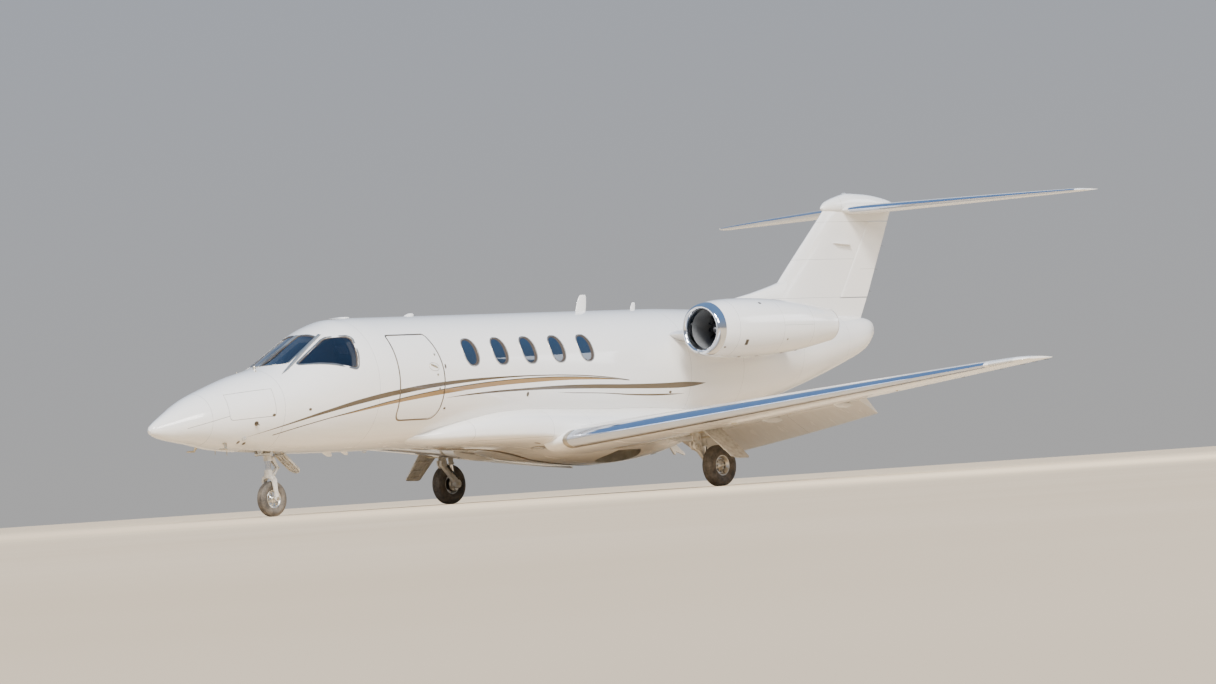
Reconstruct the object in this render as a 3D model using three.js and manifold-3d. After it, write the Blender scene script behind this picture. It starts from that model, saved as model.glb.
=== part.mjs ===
import * as THREE from 'three';
import { mergeVertices } from 'three/addons/utils/BufferGeometryUtils.js';
import Module from 'manifold-3d';

const wasm = await Module();
wasm.setup();

// Light twin business jet parked on its wheels, millimetres.
// +X forward, +Y to port, +Z up, origin on the ground under the middle of the length.
// Lengths along the jet are stations, counted aft from the tip of the nose.
// Heights in the tables are counted from the axis of the cabin tube.

const LENGTH = 14530;
const NOSE_X = LENGTH / 2;
const CABIN_AXIS_Z = 1555;

const GAP = 0.3;
const RUNNING_GAP = 5;
const WALL = 85;
const TAIL_WALL = 40;
const GLASS_DEPTH = 6;
const GLASS_THICKNESS = 12;
const HULL_SIDES = 28;

// Fuselage sections: station, top, bottom, half width, height of the widest point
const HULL = [
  [0, -420, -460, 20, -440],
  [50, -370, -505, 70, -440],
  [220, -270, -560, 150, -420],
  [600, -80, -630, 310, -370],
  [985, 50, -710, 420, -330],
  [1365, 160, -750, 520, -280],
  [1840, 270, -785, 620, -200],
  [2460, 590, -810, 735, -100],
  [2750, 735, -815, 780, -50],
  [3030, 805, -820, 805, -20],
  [3400, 820, -820, 820, 0],
  [8800, 820, -820, 820, 0],
  [9600, 800, -740, 790, 30],
  [10400, 770, -600, 720, 80],
  [11200, 730, -420, 610, 150],
  [12000, 690, -220, 480, 240],
  [12700, 650, -20, 330, 320],
  [13200, 620, 150, 210, 390],
  [13450, 570, 320, 90, 450],
];
const RADOME_END = 720;
const NOSE_END = 1690;
const NOSE_BELLY_END = 2150;
const NOSE_BELLY_Z = -395;
const CABIN_END = 8800;
const CABIN_INSIDE = { front: 2170, back: CABIN_END - WALL };
const CANOPY_INSIDE_FRONT = 1775;
const TAIL_INSIDE_END = 12700;
const HALF_CABIN = 820;

// Nose baggage doors, hinged along their upper edge; the hold behind them and the well of the nose wheel
const BAGGAGE = {
  hingeFront: [960, -70],
  hingeBack: [1560, -25],
  hingeOut: 12,
  hingePlace: 315,
  sill: -330,
  drop: 330,
  depth: 180,
  thickness: 40,
};
const HOLD = { front: 840, back: 1640, floor: -385 };
const NOSE_WELL = { front: 1330, back: 2080, halfWide: 150, roof: -450 };

// Windshield pane seen from above, port side: station and y
const WINDSHIELD = [[1830, 28], [1900, 170], [2025, 318], [2560, 285], [2545, 160], [2515, 28]];
// Side window seen from the side: station and height
const SIDE_WINDOW = [
  [2090, 262], [2570, 546], [2620, 566], [2860, 575], [2900, 545], [2850, 330], [2800, 200], [2765, 178],
  [2500, 246], [2330, 264],
];
// Side cuts reach from inside the shell to beyond its widest point
const COCKPIT_CUT = { inner: 330, outer: 1000 };
const CABIN_CUT = { inner: 400, outer: 1000 };
const CABIN_WINDOW = { first: 4770, pitch: 525, port: 5, starboard: 6, z: 315, halfWide: 122, halfTall: 168 };
// Stretches of the fuselage with glass, with lined windows and with the doorway
const GLAZED = [1700, 8700];
const LINED = [3700, 7500];
const DOORWAY = [3300, 4400];
const WINDOW_PANEL = { margin: 180, outer: 900, low: 90, high: 535, thickness: 10 };
const DOOR = {
  front: 3450,
  back: 4208,
  low: -475,
  high: 556,
  bevel: 0.5,
  hingeY: 826,
  cornerFront: 70,
  cornerBack: 110,
  cornerShare: 0.3,
  cutFrom: 330,
  cutTo: 900,
};

// Blade antennas on the roof: station, chord, height, lean, thickness, height of the foot
const ROOF_ANTENNAS = [
  [7640, 190, 215, 60, 24, 820],
  [8640, 90, 100, 25, 18, 820],
  [4480, 170, 45, 40, 60, 820],
  [3260, 330, 28, 90, 120, 815],
];

// Cabin floor, seats and instrument panel, seen through the glass and the doorway
const FLOOR_TOP = -560;
const FLOOR_THICKNESS = 100;
const PILOT_SEAT = { station: 2980, y: 330 };
const CABIN_SEAT_Y = 365;
const SEAT_RAIL = { front: 4350, back: 7400, width: 40, height: 25 };
// Cabin seats: station, facing (1 forward, -1 aft)
const CABIN_SEATS = [
  [4700, -1],
  [5900, 1],
  [7080, 1],
];
// Seat outlines: station from the middle of the seat, height above the floor
const SEAT_WIDTH = 400;
const SEAT_BODY = [[-230, 200], [220, 170], [330, 720], [320, 830], [240, 840], [140, 330], [-220, 340]];
const SEAT_FOOT = [[-120, 0], [150, 0], [150, 185], [-120, 205]];
const SEAT_ARM = [[-180, 330], [160, 330], [160, 470], [-180, 450]];
const SEAT_ARM_WIDTH = 45;
// Parts of the instrument panel: stations, widths, heights
const PANEL_BOARD = [[2330, 2420], [-900, 900], [-300, 130]];
const PANEL_SHIELD = [[2240, 2440], [-900, 900], [130, 165]];
const PANEL_PEDESTAL = { stations: [2400, 2700], halfWide: 90, top: -180 };
const PANEL_LEG = { stations: [2340, 2420], halfWide: 60, top: -250 };
const YOKE = {
  y: 330,
  root: 2410,
  station: 2560,
  low: -80,
  middle: -60,
  high: -20,
  halfSpan: 140,
  shaft: 14,
};

// Belly fairing sections: station, half width, height of the widest point, rise above it, drop below it
const FAIRING = [
  [3850, 360, -700, 30, 60],
  [4100, 530, -690, 60, 115],
  [4300, 640, -690, 130, 140],
  [4700, 790, -690, 220, 155],
  [5300, 930, -700, 320, 175],
  [5700, 985, -715, 350, 185],
  [6150, 1015, -740, 370, 230],
  [6600, 1028, -775, 385, 300],
  [7600, 1020, -820, 400, 350],
  [8200, 960, -800, 370, 320],
  [9000, 780, -740, 270, 200],
  [9800, 500, -660, 130, 120],
  [10400, 150, -590, 40, 40],
];
const FAIRING_POWER = 2.6;
const WHEEL_BAY = { station: 7400, y: 700, radius: 300, roof: -1010, depth: 390 };
const DRAIN_MAST = [[9140, -860], [9300, -1070], [9470, -1090], [9470, -1120], [9270, -1110], [9060, -860]];
const DRAIN_MAST_HALF = 16;

// Wing sections: distance from the middle, leading edge, trailing edge, thickness
const WING = [
  [800, 5940, 8650, 360],
  [1450, 6090, 8620, 335],
  [2300, 6290, 8540, 300],
  [4600, 6660, 8230, 205],
  [7000, 6990, 7800, 100],
  [7400, 7060, 7730, 76],
  [7595, 7200, 7660, 30],
];
const WING_ROOT_Y = 950;
const WING_ROOT_Z = -860;
const DIHEDRAL = Math.tan(THREE.MathUtils.degToRad(5));
const WING_CAMBER = 0.012;
const FLAP = { inner: 1150, outer: 4350, chord: 0.225, down: 35 };
const AILERON = { inner: 4480, outer: 6880, chord: 0.24 };
const LEG_BAY = { front: 7080, back: 7470, inner: 1480, outer: 2440 };
const JACK_PAD = { station: 6950, y: 3100, top: -740, face: -802, radius: 35 };

// Tailplane sections: distance from the middle, leading edge, trailing edge, thickness
const TAILPLANE = [
  [0, 12930, 14100, 120],
  [200, 13000, 14130, 118],
  [3150, 14110, 14505, 46],
  [3270, 14200, 14530, 22],
];
const TAILPLANE_Z = 2090;
const ELEVATOR = { inner: 260, outer: 3020, chord: 0.32 };

// Fin sections: height, leading edge, trailing edge, thickness
const FIN = [
  [480, 10980, 13200, 190],
  [960, 11420, 13480, 170],
  [1130, 11590, 13570, 162],
  [2020, 12560, 14040, 120],
  [2090, 12634, 14077, 117],
];
const RUDDER = { low: 900, high: 1930, chord: 0.29 };
// Fillet ahead of the fin: half width, lower [station, height], upper [station, height]
const DORSAL = [
  [8, [9900, 700], [9900, 800]],
  [45, [11000, 640], [11000, 985]],
  [60, [11700, 600], [11700, 1150]],
];
const DORSAL_TOP_SHARE = 0.35;

// Fairing on top of the fin: station, half width, half height, height of its middle
const BULLET = [
  [12590, 12, 12, 2120],
  [12690, 62, 70, 2140],
  [12900, 95, 115, 2160],
  [13150, 105, 140, 2180],
  [13500, 96, 125, 2180],
  [13900, 66, 85, 2165],
  [14260, 14, 18, 2130],
];

const ENGINE_Y = 1390;
const ENGINE_Z = 470;
const ENGINE_SIDES = 24;
const FAN = {
  front: 8800,
  back: 8865,
  radius: 256,
  hub: 90,
  blades: 16,
  pitch: 48,
  chord: 62,
  thickness: 10,
  root: 12,
};
const SPINNER = [[0, 8640], [45, 8665], [75, 8720]];
const ENGINE_BLOCK = {
  front: 9000,
  back: 10200,
  radius: 300,
  shaft: 40,
  coneRadius: 110,
  coneEnd: 10420,
};
const EXHAUST_END = 10900;
// Nacelle profiles: [radius, station] pairs round the engine's axis
const NACELLE_OUTSIDE = [
  [347, 8500], [372, 8700], [385, 9100], [372, 9600], [335, 10100], [272, 10550], [212, EXHAUST_END],
];
const NACELLE_INSIDE = [
  [192, EXHAUST_END], [240, 10450], [300, 10250], [300, 8980], [263, 8930], [263, 8680], [250, 8500],
];
const LIP = [[250, 8499.7], [252, 8440], [262, 8400], [290, 8370], [318, 8392], [336, 8440], [347, 8499.7]];
// A plain solid over the lip, which the pylon is cut clear of
const LIP_ROOM = [[0, 8371], [290.3, 8371], [347.3, 8501], [0, 8501]];
const PYLON = [
  [8560, 440], [8760, 490], [9400, 510], [10200, 500], [10700, 450], [10200, 350], [9400, 320], [8760, 360],
];
const PYLON_ROOT = 500;

const MAIN_WHEEL = { station: 7440, y: 2380, radius: 260, width: 168, rim: 126, axle: 30 };
const NOSE_WHEEL = { station: 1930, y: 0, radius: 215, width: 114, rim: 93, axle: 18 };
const WHEEL_SIDES = 20;
const LEG = {
  station: 7180,
  y: 2235,
  top: -745,
  pivot: -1030,
  lean: 60,
  topRadius: 52,
  footRadius: 40,
};
const LEG_COLLAR = { radius: 75, height: 45 };
const LEG_PIN = { inner: -52, outer: 40, radius: 38 };
const SIDE_BRACE = { radius: 20, topStation: 190, topInboard: 330, footStation: 30, foot: -930 };
const SHOCK_LUG = {
  rootStation: 30,
  root: -850,
  endStation: 150,
  end: -800,
  width: 50,
  thickness: 40,
};
const SHOCK = {
  topStation: 150,
  top: -806,
  footStation: -60,
  footRise: 90,
  radius: 36,
  piston: 20,
  split: 0.55,
};
const ARM = {
  width: 56,
  thickness: 62,
  inboard: 14,
  hubRadius: 55,
  hubInner: -44,
  hubOuter: 18,
  axleOuter: 62,
};
const ARM_FOOT = { width: 40, thickness: 50 };
// Main gear door corners on the port side: station, y, height
const MAIN_DOOR = [[7040, 2440, -800], [7420, 2440, -800], [7400, 2900, -1210], [7120, 2900, -1210]];
const DOOR_PLATE = 12;
const STRUT = { station: 1900, roof: -450.3, end: -880, radius: 48, headRadius: 70, head: 60, collar: -815 };
const DRAG_BRACE = { ahead: 330, drop: 20, foot: -700, footAhead: 20, radius: 18 };
const LAMP = { from: 40, to: 110, z: -745, radius: 20, face: 42 };
const FORK = {
  side: 86,
  crown: -1075,
  stem: 34,
  crownWidth: 70,
  crownHeight: 44,
  legWidth: 28,
  legDepth: 56,
};
const SCISSORS = {
  knee: 150,
  kneeZ: -965,
  width: 46,
  thickness: 16,
  pin: 14,
  pinHalf: 30,
  ring: 34,
};
const NOSE_DOOR = {
  top: [2105, -800],
  foot: [2390, -1035],
  width: 180,
  ribs: [-62, 0, 62],
  ribDepth: 40,
};

const PIN = { radius: 6, sides: 6, held: 30, inserted: 25 };
const BARREL = { radius: 10, sides: 8, inner: 25, outer: 50, clearance: 1 };

// Cutters reach well past what they cut
const AHEAD = -10;
const WIDE = [-2000, 2000];
const REACH = 1500;
const AFT = new THREE.Vector3(-1, 0, 0);

const PAINT = { color: 0xf4f1ea, roughness: 0.25, metalness: 0 };
const POLISHED = { color: 0xc9ccd0, roughness: 0.12, metalness: 1 };
const STEEL = { color: 0xb9b6ae, roughness: 0.35, metalness: 0.9 };
const GEAR_PAINT = { color: 0xe6e2d8, roughness: 0.4, metalness: 0.1 };
const GLASS = { color: 0x1d2f4a, roughness: 0.05, metalness: 0 };
const RUBBER = { color: 0x1a1a1a, roughness: 0.85, metalness: 0 };
const LEATHER = { color: 0xa58d6b, roughness: 0.6, metalness: 0 };
const TRIM = { color: 0x23252a, roughness: 0.7, metalness: 0 };
const FAN_METAL = { color: 0x4a4d52, roughness: 0.3, metalness: 0.9 };

const jet = new THREE.Group();

// A point at a station aft of the nose, at a height above the axis of the cabin tube
function at(station, y, z) {
  return new THREE.Vector3(NOSE_X - station, y, CABIN_AXIS_Z + z);
}

function add(name, solidOrGeometry, finish) {
  const geometry = solidOrGeometry.isBufferGeometry ? solidOrGeometry : toGeometry(solidOrGeometry);
  const mesh = new THREE.Mesh(geometry, new THREE.MeshStandardMaterial(finish));
  mesh.name = name;
  jet.add(mesh);
}

function toGeometry(solid) {
  const mesh = solid.getMesh();
  const geometry = new THREE.BufferGeometry();
  geometry.setAttribute('position', new THREE.Float32BufferAttribute(mesh.vertProperties, 3));
  geometry.setIndex(Array.from(mesh.triVerts));
  geometry.computeVertexNormals();
  return geometry;
}

function signedVolume(geometry) {
  const position = geometry.getAttribute('position');
  const corner = [new THREE.Vector3(), new THREE.Vector3(), new THREE.Vector3()];
  let volume = 0;
  for (let i = 0; i < geometry.index.count; i += 3) {
    corner.forEach((v, k) => v.fromBufferAttribute(position, geometry.index.getX(i + k)));
    volume += corner[0].dot(corner[1].clone().cross(corner[2])) / 6;
  }
  return volume;
}

function toSolid(source) {
  const bare = source.clone();
  bare.deleteAttribute('normal');
  bare.deleteAttribute('uv');
  const merged = mergeVertices(bare, 1e-3);
  const triangles = Array.from(merged.index.array);
  if (signedVolume(merged) < 0) {
    triangles.reverse();
  }
  const mesh = new wasm.Mesh({
    numProp: 3,
    vertProperties: new Float32Array(merged.getAttribute('position').array),
    triVerts: new Uint32Array(triangles),
  });
  return new wasm.Manifold(mesh);
}

function join(...solids) {
  return solids.reduce((whole, next) => whole.add(next));
}

function mirrored(solid) {
  return toSolid(toGeometry(solid).scale(1, -1, 1));
}

// A closed solid through rings of equal point counts, with flat ends
function loft(rings) {
  const count = rings[0].length;
  const points = rings.flat();
  const index = [];
  for (let ring = 0; ring + 1 < rings.length; ring++) {
    for (let i = 0; i < count; i++) {
      const a = ring * count + i;
      const b = ring * count + ((i + 1) % count);
      index.push(a, b, b + count, a, b + count, a + count);
    }
  }
  for (const [ring, turn] of [[0, 1], [rings.length - 1, 0]]) {
    const middle = rings[ring].reduce((sum, p) => sum.add(p), new THREE.Vector3()).divideScalar(count);
    const hub = points.push(middle) - 1;
    for (let i = 0; i < count; i++) {
      const a = ring * count + i;
      const b = ring * count + ((i + 1) % count);
      index.push(hub, turn ? b : a, turn ? a : b);
    }
  }
  const geometry = new THREE.BufferGeometry().setFromPoints(points);
  geometry.setIndex(index);
  return toSolid(geometry);
}

function box(stations, ys, zs) {
  const low = at(stations[1], ys[0], zs[0]);
  const high = at(stations[0], ys[1], zs[1]);
  const size = high.clone().sub(low);
  const middle = low.add(high).divideScalar(2);
  return toSolid(new THREE.BoxGeometry(size.x, size.y, size.z).translate(middle.x, middle.y, middle.z));
}

// A round bar between two points, tapered if two radii are given
function bar(from, to, radius, endRadius = radius, sides = 10) {
  const length = from.distanceTo(to);
  const geometry = new THREE.CylinderGeometry(endRadius, radius, length, sides);
  const direction = to.clone().sub(from).normalize();
  geometry.applyQuaternion(new THREE.Quaternion().setFromUnitVectors(new THREE.Vector3(0, 1, 0), direction));
  const middle = from.clone().add(to).divideScalar(2);
  return toSolid(geometry.translate(middle.x, middle.y, middle.z));
}

// A flat bar of a given width and thickness between two points, its width turned towards a direction
function strap(from, to, width, thickness, across) {
  const along = to.clone().sub(from);
  const length = along.length();
  along.normalize();
  const face = across.clone().addScaledVector(along, -across.dot(along)).normalize();
  const basis = new THREE.Matrix4().makeBasis(along, face, along.clone().cross(face));
  basis.setPosition(from.clone().add(to).divideScalar(2));
  return toSolid(new THREE.BoxGeometry(length, width, thickness).applyMatrix4(basis));
}

// An outline of [station, height] pairs seen from the side, extruded from one y to the other
function sidePrism(outline, yFrom, yTo) {
  return loft([yFrom, yTo].map((y) => outline.map(([station, z]) => at(station, y, z))));
}

// An outline of [station, y] pairs seen from above, extruded from one height to the other
function planPrism(outline, zFrom, zTo) {
  return loft([zFrom, zTo].map((z) => outline.map(([station, y]) => at(station, y, z))));
}

function shrunk(outline, distance) {
  const total = outline.reduce((sum, p) => [sum[0] + p[0], sum[1] + p[1]], [0, 0]);
  const middle = total.map((v) => v / outline.length);
  return outline.map(([a, b]) => {
    const reach = Math.hypot(a - middle[0], b - middle[1]);
    const scale = (reach - distance) / reach;
    return [middle[0] + (a - middle[0]) * scale, middle[1] + (b - middle[1]) * scale];
  });
}

// A closed profile of [radius, offset] pairs turned round a horizontal axis through a centre
function turned(profile, centre, direction, sides, start = 0) {
  const points = [...profile, profile[0]].map(([radius, offset]) => new THREE.Vector2(radius, offset));
  const geometry = new THREE.LatheGeometry(points, sides, start);
  geometry.applyQuaternion(new THREE.Quaternion().setFromUnitVectors(new THREE.Vector3(0, 1, 0), direction));
  return toSolid(geometry.translate(centre.x, centre.y, centre.z));
}

function interpolate(table, station) {
  const next = Math.max(1, table.findIndex((row) => row[0] >= station));
  const [low, high] = [table[next - 1], table[next]];
  const share = (station - low[0]) / (high[0] - low[0]);
  return low.map((value, i) => value + (high[i] - value) * share);
}

function hullRing(station, grow) {
  const [, top, bottom, half, waist] = interpolate(HULL, station);
  return Array.from({ length: HULL_SIDES }, (_, i) => {
    const angle = (i / HULL_SIDES) * 2 * Math.PI;
    const rise = Math.sin(angle) > 0 ? top - waist + grow : waist - bottom + grow;
    return at(station, (half + grow) * Math.cos(angle), waist + rise * Math.sin(angle));
  });
}

// The fuselage from one station to another, grown or shrunk all round
function hull(from, to, grow = 0) {
  const inside = HULL.map((row) => row[0]).filter((station) => station > from && station < to);
  return loft([from, ...inside, to].map((station) => hullRing(station, grow)));
}

// Upper and lower points of a wing section, from the trailing edge round the nose and back
function foil(thickness, camber, place) {
  const shares = [1, 0.8, 0.55, 0.32, 0.15, 0.045, 0];
  const edge = 0.012;
  const half = (c) => {
    const shape = 0.2969 * Math.sqrt(c) - 0.126 * c - 0.3516 * c ** 2 + 0.2843 * c ** 3 - 0.1036 * c ** 4;
    return thickness * (5 * shape + edge * c);
  };
  const mean = (c) => camber * 4 * c * (1 - c);
  const upper = shares.map((c) => place(c, mean(c) + half(c)));
  const lower = shares.slice(0, -1).reverse().map((c) => place(c, mean(c) - half(c)));
  return [...upper, ...lower];
}

function wingHeight(y) {
  return WING_ROOT_Z + (y - WING_ROOT_Y) * DIHEDRAL;
}

function wingLoft(grow = 0) {
  return loft(WING.map(([y, front, back, thickness], row) => {
    const chord = back - front + 2 * grow;
    const start = row === 0 ? y - grow : y;
    const rise = WING_CAMBER * chord;
    return foil(thickness + 2 * grow, rise, (c, offset) => {
      return at(front - grow + c * chord, start, wingHeight(y) + offset);
    });
  }));
}

// A frame on a hinge line: first axis along the hinge, second away from the fixed part
function hingeFrame(from, to, away) {
  const along = to.clone().sub(from).normalize();
  const second = away.clone().addScaledVector(along, -away.dot(along)).normalize();
  return new THREE.Matrix4().makeBasis(along, second, along.clone().cross(second)).setPosition(from);
}

function framedBox(frame, xs, ys, zs) {
  const geometry = new THREE.BoxGeometry(xs[1] - xs[0], ys[1] - ys[0], zs[1] - zs[0]);
  geometry.translate((xs[0] + xs[1]) / 2, (ys[0] + ys[1]) / 2, (zs[0] + zs[1]) / 2);
  return toSolid(geometry.applyMatrix4(frame));
}

// Pins on a hinge line, standing in the fixed part at both ends and reaching into the moving one
function endPins(from, to) {
  const along = to.clone().sub(from).normalize();
  const bore = (PIN.radius + GAP) / Math.cos(Math.PI / PIN.sides);
  const ends = [[from, along], [to, along.clone().negate()]];
  const pins = (radius, extra) => join(...ends.map(([end, inward]) => bar(
    end.clone().addScaledVector(inward, -PIN.held),
    end.clone().addScaledVector(inward, PIN.inserted + extra),
    radius,
    radius,
    PIN.sides,
  )));
  return { pins: pins(PIN.radius, 0), bores: pins(bore, GAP) };
}

// A hinge of three barrels with a pin through them, at a distance along a hinge line
function barrelHinge(from, to, place, intoFixed, intoMoving) {
  const along = to.clone().sub(from).normalize();
  const spot = (offset) => from.clone().addScaledVector(along, place + offset);
  const { radius, inner, outer, clearance } = BARREL;
  const barrel = (start, end, r) => bar(spot(start), spot(end), r, r, BARREL.sides);
  const leaf = (start, end, into) => {
    const middle = spot((start + end) / 2);
    const level = into.clone().addScaledVector(along, -into.dot(along));
    return strap(middle, middle.clone().add(level), end - start, radius, along);
  };
  const bore = (PIN.radius + GAP) / Math.cos(Math.PI / PIN.sides);
  const pin = bar(spot(-outer), spot(outer), PIN.radius, PIN.radius, PIN.sides);
  const ends = [[-outer, -inner - GAP], [inner + GAP, outer]];
  const knuckles = ends.map(([a, b]) => join(barrel(a, b, radius), leaf(a, b, intoFixed)));
  const room = ends.map(([a, b]) => barrel(a - clearance, b + clearance, radius + clearance));
  const slot = barrel(-inner - clearance, inner + clearance, radius + clearance);
  const turning = join(barrel(-inner, inner, radius), leaf(-inner, inner, intoMoving));
  const pinBore = bar(spot(-outer), spot(outer), bore, bore, PIN.sides);
  return {
    hold: (fixed) => join(fixed.subtract(slot), pin, ...knuckles),
    swing: (moving) => join(moving.subtract(join(...room)), turning).subtract(pinBore),
  };
}

// Splits a control surface off a solid: its round nose turns in a cove of the fixed part
function splitSurface(body, from, to, noseFrom, noseTo) {
  const frame = hingeFrame(from, to, AFT);
  const length = from.distanceTo(to);
  const extra = RUNNING_GAP * 2;
  const nose = bar(from, to, noseFrom, noseTo, 20);
  const along = to.clone().sub(from).normalize().multiplyScalar(extra);
  const coveFrom = from.clone().sub(along);
  const coveTo = to.clone().add(along);
  const cove = bar(coveFrom, coveTo, noseFrom + RUNNING_GAP, noseTo + RUNNING_GAP, 20);
  const moving = body.intersect(join(nose, framedBox(frame, [0, length], [0, REACH], [-REACH, REACH])));
  const behind = framedBox(frame, [-extra, length + extra], [0, REACH], [-REACH, REACH]);
  const fixed = body.subtract(join(cove, behind));
  const { pins, bores } = endPins(from, to);
  return { moving: moving.subtract(bores), fixed: fixed.add(pins) };
}

// Turns a solid about a hinge line, positive by the right hand from one end to the other
function turnedAbout(solid, from, to, degrees) {
  const axis = to.clone().sub(from).normalize();
  const turn = new THREE.Matrix4().makeRotationAxis(axis, THREE.MathUtils.degToRad(degrees));
  const there = new THREE.Matrix4().makeTranslation(from.x, from.y, from.z);
  const back = new THREE.Matrix4().makeTranslation(-from.x, -from.y, -from.z);
  return toSolid(toGeometry(solid).applyMatrix4(there.multiply(turn).multiply(back)));
}

const hullOutside = hull(HULL[0][0], HULL.at(-1)[0]);
const hullClearance = hull(HULL[0][0] + 1, HULL.at(-1)[0], GAP);

// The part of the fuselage ahead of the cabin, grown by a gap where the cabin is cut to fit it
function noseCut(grow = 0) {
  const upper = box([AHEAD, NOSE_END + grow], WIDE, WIDE);
  return join(upper, box([AHEAD, NOSE_BELLY_END + grow], WIDE, [WIDE[0], NOSE_BELLY_Z + grow]));
}

// The point on the port side of the hull at a station and height
function onHull(station, z) {
  const [, top, bottom, half, waist] = interpolate(HULL, station);
  const rise = z > waist ? (z - waist) / (top - waist) : (waist - z) / (waist - bottom);
  return at(station, half * Math.sqrt(Math.max(0, 1 - rise ** 2)), z);
}

function baggageHinge() {
  const outward = new THREE.Vector3(0, BAGGAGE.hingeOut, BAGGAGE.hingeOut / 2);
  return [onHull(...BAGGAGE.hingeFront).add(outward), onHull(...BAGGAGE.hingeBack).add(outward)];
}

function baggageDoor(grow) {
  const [front, back] = baggageHinge();
  const sill = onHull((BAGGAGE.hingeFront[0] + BAGGAGE.hingeBack[0]) / 2, BAGGAGE.sill);
  sill.y += BAGGAGE.hingeOut;
  const frame = hingeFrame(front, back, sill.sub(front.clone().add(back).divideScalar(2)));
  const length = front.distanceTo(back);
  return framedBox(
    frame,
    [-grow, length + grow],
    [-grow, BAGGAGE.drop + grow],
    [-BAGGAGE.depth, BAGGAGE.depth],
  );
}

function noseParts() {
  add('radome', hullOutside.intersect(box([AHEAD, RADOME_END], WIDE, WIDE)), PAINT);
  const holdBox = box([HOLD.front, HOLD.back], WIDE, [HOLD.floor, WIDE[1]]);
  const room = hull(HOLD.front, HOLD.back, -BAGGAGE.thickness - GAP).intersect(holdBox);
  const { front, back, halfWide, roof } = NOSE_WELL;
  const wheelWell = box([front, back], [-halfWide, halfWide], [WIDE[0], roof]);
  let bay = hullOutside.intersect(noseCut()).subtract(box([AHEAD, RADOME_END + GAP], WIDE, WIDE));
  bay = bay.subtract(join(room, wheelWell));
  const skin = hullOutside.subtract(hull(RADOME_END - 20, NOSE_END + 10, -BAGGAGE.thickness));
  const opening = baggageDoor(RUNNING_GAP);
  const hinge = barrelHinge(
    ...baggageHinge(),
    BAGGAGE.hingePlace,
    new THREE.Vector3(0, -46, 16),
    new THREE.Vector3(0, 2, -46),
  );
  bay = bay.subtract(join(opening, mirrored(opening)));
  bay = hinge.hold(mirrored(hinge.hold(bay)));
  const door = hinge.swing(skin.intersect(baggageDoor(0)));
  add('nose_bay', bay, PAINT);
  add('baggage_door_left', door, PAINT);
  add('baggage_door_right', mirrored(door), PAINT);
}

function windowOval(station, shrink) {
  const sides = 12;
  return Array.from({ length: sides }, (_, i) => {
    const angle = ((i + 0.5) / sides) * 2 * Math.PI;
    const [c, s] = [Math.cos(angle), Math.sin(angle)];
    const fat = (v) => Math.sign(v) * Math.abs(v) ** 0.8;
    return [
      station + (CABIN_WINDOW.halfWide - shrink) * fat(c),
      CABIN_WINDOW.z + (CABIN_WINDOW.halfTall - shrink) * fat(s),
    ];
  });
}

function windowStations(side) {
  const count = side > 0 ? CABIN_WINDOW.port : CABIN_WINDOW.starboard;
  const skipped = CABIN_WINDOW.port - count;
  return Array.from({ length: count }, (_, i) => CABIN_WINDOW.first + (i + skipped) * CABIN_WINDOW.pitch);
}

// The entry door as seen from the side, its rear edge bevelled so that it swings clear of the frame
function doorPrism(grow) {
  const ring = (y) => {
    const back = DOOR.back - DOOR.bevel * (HALF_CABIN - y) + grow;
    const front = DOOR.front - grow;
    const low = DOOR.low - grow;
    const high = DOOR.high + grow;
    const { cornerFront, cornerBack, cornerShare } = DOOR;
    return [
      at(front, y, high),
      at(back, y, high),
      at(back, y, low + cornerBack),
      at(back - cornerBack * cornerShare, y, low + cornerBack * cornerShare),
      at(back - cornerBack, y, low),
      at(front + cornerFront, y, low),
      at(front + cornerFront * cornerShare, y, low + cornerFront * cornerShare),
      at(front, y, low + cornerFront),
    ];
  };
  return loft([ring(DOOR.cutFrom), ring(DOOR.cutTo)]);
}

function roofAntenna([station, chord, height, lean, thickness, z]) {
  const rooted = 40;
  const tipShare = 0.6;
  const outline = [
    [station, z - rooted],
    [station + lean, z + height],
    [station + lean + chord * tipShare, z + height],
    [station + chord, z - rooted],
  ];
  return sidePrism(outline, -thickness / 2, thickness / 2);
}

function cabinShell() {
  const outside = hullOutside.intersect(box([NOSE_END, CABIN_END - GAP], WIDE, WIDE)).subtract(noseCut(GAP));
  const inside = hull(CABIN_INSIDE.front, CABIN_INSIDE.back, -WALL);
  const canopyInside = hull(CANOPY_INSIDE_FRONT, CABIN_INSIDE.front + 1, -WALL)
    .intersect(box([CANOPY_INSIDE_FRONT, CABIN_INSIDE.front + 2], WIDE, [NOSE_BELLY_Z + WALL, WIDE[1]]));
  let shell = join(outside, ...ROOF_ANTENNAS.map(roofAntenna)).subtract(join(inside, canopyInside));
  for (const side of [1, -1]) {
    const flip = (outline) => outline.map(([station, y]) => [station, side * y]);
    shell = shell.subtract(planPrism(flip(WINDSHIELD), 0, 900));
    shell = shell.subtract(sidePrism(SIDE_WINDOW, side * COCKPIT_CUT.inner, side * COCKPIT_CUT.outer));
    for (const station of windowStations(side)) {
      const oval = sidePrism(windowOval(station, 0), side * CABIN_CUT.inner, side * CABIN_CUT.outer);
      shell = shell.subtract(oval);
    }
  }
  add('cabin_shell', doorHinge().hold(shell.subtract(doorPrism(RUNNING_GAP))), PAINT);
}

function doorHinge() {
  const from = at(DOOR.front, DOOR.hingeY, 0);
  const above = from.clone().setZ(from.z + 1);
  return barrelHinge(from, above, 0, new THREE.Vector3(40, -22, 0), new THREE.Vector3(-40, -18, 0));
}

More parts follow.
